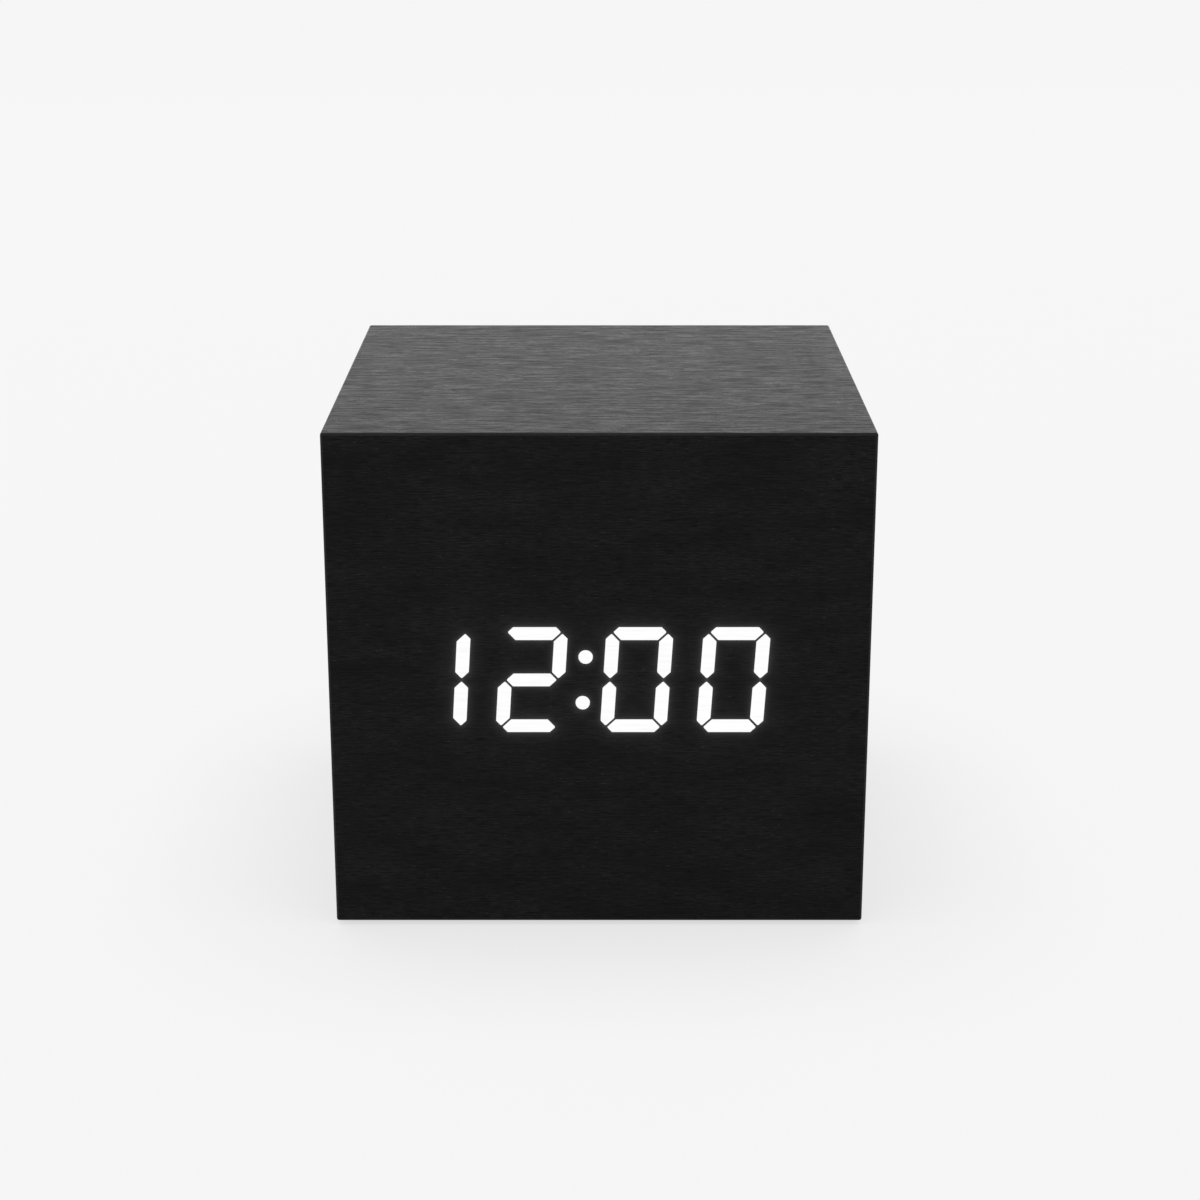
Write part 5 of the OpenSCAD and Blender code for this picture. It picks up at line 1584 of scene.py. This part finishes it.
def tube(shell, path, radius):
    """A round wire along a path, with closed ends."""
    turns = [2 * math.pi * k / WIRE_SIDES for k in range(WIRE_SIDES)]
    rings = []
    for i, spot in enumerate(path):
        ahead = (path[min(i + 1, len(path) - 1)] - path[max(i - 1, 0)]).normalized()
        across = ahead.cross(Vector((0, 1, 0))).normalized()
        up = across.cross(ahead)
        around = [spot + radius * (math.cos(t) * across + math.sin(t) * up) for t in turns]
        rings.append([shell.bm.verts.new(point) for point in around])
    shell.walls(rings)
    shell.face(rings[0], False)
    shell.face(rings[-1], False)


# Stage

class CLOCK_OT_stage(bpy.types.Operator):
    """Set the pale floor, the soft light and the camera"""
    bl_idname = "clock.stage"
    bl_label = "Stage"

    def execute(self, context):
        scene = context.scene
        sizes = scene.clock_stage
        shell = Shell(lying)
        shell.deck(shell.ring(disc(0, 0, sizes.floor_d / 2)(0), 0))
        floor = shell.piece("floor")
        if floor.data.polygons[0].normal.z < 0:
            floor.data.flip_normals()
        floor.data.materials.append(pale_paper(sizes, scene.clock_finishes))
        scene.world = light_tent(sizes, scene.clock_finishes)
        scene.collection.objects.link(soft_lamp(sizes))
        scene.camera = viewer(sizes)
        scene.collection.objects.link(scene.camera)
        scene.view_settings.view_transform = "Standard"
        return {"FINISHED"}


def light_tent(sizes, finishes):
    """A world of even soft light that shows as pale paper."""
    world = bpy.data.worlds.new("light tent")
    world.use_nodes = True
    tree = world.node_tree
    tree.nodes.clear()
    light = add_node(tree, "ShaderNodeBackground", {"Color": (1, 1, 1, 1), "Strength": sizes.light})
    backdrop = add_node(tree, "ShaderNodeBackground", {"Color": finishes.paper, "Strength": 1.0})
    mixed = add_node(tree, "ShaderNodeMixShader", {0: seen_directly(tree), 1: light, 2: backdrop})
    add_node(tree, "ShaderNodeOutputWorld", {"Surface": mixed})
    return world


def soft_lamp(sizes):
    """A wide lamp behind the object, turned to it."""
    glow = bpy.data.lights.new("softbox", "AREA")
    glow.energy = sizes.lamp_power
    glow.shape = "RECTANGLE"
    glow.size = sizes.lamp_w
    glow.size_y = sizes.lamp_h
    lamp = bpy.data.objects.new("softbox", glow)
    lamp.visible_camera = False
    flat = sizes.lamp_away * math.cos(sizes.lamp_rise)
    lamp.location = (-flat * math.sin(sizes.lamp_turn), flat * math.cos(sizes.lamp_turn),
                     sizes.lamp_away * math.sin(sizes.lamp_rise))
    lamp.rotation_euler = Vector(lamp.location).to_track_quat("Z", "Y").to_euler()
    return lamp


def viewer(sizes):
    """The camera, in front of the case and above it."""
    case_low, case_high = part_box("grain_film")
    eye = bpy.data.cameras.new("camera")
    eye.sensor_width = SENSOR
    eye.lens = sizes.lens
    eye.clip_start = SEES_FROM
    eye.clip_end = SEES_TO
    camera = bpy.data.objects.new("camera", eye)
    camera.location = (sizes.camera_side, case_low.y - sizes.camera_back, case_high.z + sizes.camera_rise)
    camera.rotation_euler = (math.pi / 2 - sizes.pitch, 0, 0)
    return camera


def seen_directly(tree):
    """One for what the camera, a gloss or a clear piece shows, nought for the light itself."""
    camera, gloss, clear = (add_node(tree, "ShaderNodeLightPath", out=f"Is {ray} Ray")
                            for ray in ("Camera", "Glossy", "Transmission"))
    either = add_node(tree, "ShaderNodeMath", {0: camera, 1: gloss}, operation="MAXIMUM")
    return add_node(tree, "ShaderNodeMath", {0: either, 1: clear}, operation="MAXIMUM")


def pale_paper(sizes, finishes):
    """Seamless paper: even and pale, keeps a light shadow, and lets a camera below look up through it."""
    material, tree = blank("seamless paper, matt")
    share = sizes.floor_share
    fibres = add_node(tree, "ShaderNodeMixRGB", {
        "Fac": grit(tree, size=0.5),
        "Color1": toned(finishes.paper, 0.998 * share), "Color2": toned(finishes.paper, share)})
    shadow = add_node(tree, "ShaderNodeBsdfDiffuse", {"Color": fibres})
    near = add_node(tree, "ShaderNodeAmbientOcclusion", {
        "Distance": sizes.contact_reach}, out="AO", samples=SHADOW_SAMPLES)
    dimmed = add_node(tree, "ShaderNodeMapRange", {"Value": near, "To Min": 1 - sizes.contact})
    even = add_node(tree, "ShaderNodeEmission", {
        "Color": toned(finishes.paper, 1 - share), "Strength": dimmed})
    shown = add_node(tree, "ShaderNodeAddShader", {0: shadow, 1: even})
    bounce = add_node(tree, "ShaderNodeBsdfDiffuse", {"Color": toned(finishes.paper, BOUNCE)})
    upper = add_node(tree, "ShaderNodeMixShader", {0: seen_directly(tree), 1: bounce, 2: shown})
    below = add_node(tree, "ShaderNodeNewGeometry", out="Backfacing")
    clear = add_node(tree, "ShaderNodeBsdfTransparent")
    both = add_node(tree, "ShaderNodeMixShader", {0: below, 1: upper, 2: clear})
    add_node(tree, "ShaderNodeOutputMaterial", {"Surface": both})
    return material


# Panel and registration

OPERATORS = (
    CLOCK_OT_stage, CLOCK_OT_film, CLOCK_OT_feet, CLOCK_OT_display, CLOCK_OT_inside, CLOCK_OT_rear_plate,
    CLOCK_OT_buttons, CLOCK_OT_screws, CLOCK_OT_sound_switch, CLOCK_OT_inlet, CLOCK_OT_battery_door,
    CLOCK_OT_battery_box, CLOCK_OT_cells, CLOCK_OT_contacts,
)
GROUPS = {
    "clock_case": CaseSizes,
    "clock_controls": ControlSizes,
    "clock_bay": BaySizes,
    "clock_stage": StageSizes,
    "clock_finishes": Finishes,
}


class CLOCK_PT_panel(bpy.types.Panel):
    """Lists the clock's pieces, sizes and colours"""
    bl_idname = "CLOCK_PT_panel"
    bl_label = "Cube alarm clock"
    bl_space_type = "VIEW_3D"
    bl_region_type = "UI"
    bl_category = "Clock"

    def draw(self, context):
        for operator in OPERATORS:
            self.layout.operator(operator.bl_idname)
        for name in GROUPS:
            group = getattr(context.scene, name)
            box = self.layout.box()
            for key in group.bl_rna.properties.keys():
                if key not in ("rna_type", "name"):
                    box.prop(group, key)


def register():
    """Registers the groups, the operators and the panel."""
    for name, group in GROUPS.items():
        bpy.utils.register_class(group)
        setattr(bpy.types.Scene, name, PointerProperty(type=group))
    for made in OPERATORS + (CLOCK_PT_panel,):
        bpy.utils.register_class(made)


def unregister():
    """Takes them out again, in the other order."""
    for made in (CLOCK_PT_panel,) + OPERATORS[::-1]:
        bpy.utils.unregister_class(made)
    for name, group in reversed(GROUPS.items()):
        delattr(bpy.types.Scene, name)
        bpy.utils.unregister_class(group)


def main():
    """Makes every piece and the stage."""
    register()
    for operator in OPERATORS:
        family, name = operator.bl_idname.split(".")
        getattr(getattr(bpy.ops, family), name)()


if __name__ == "__main__":
    main()
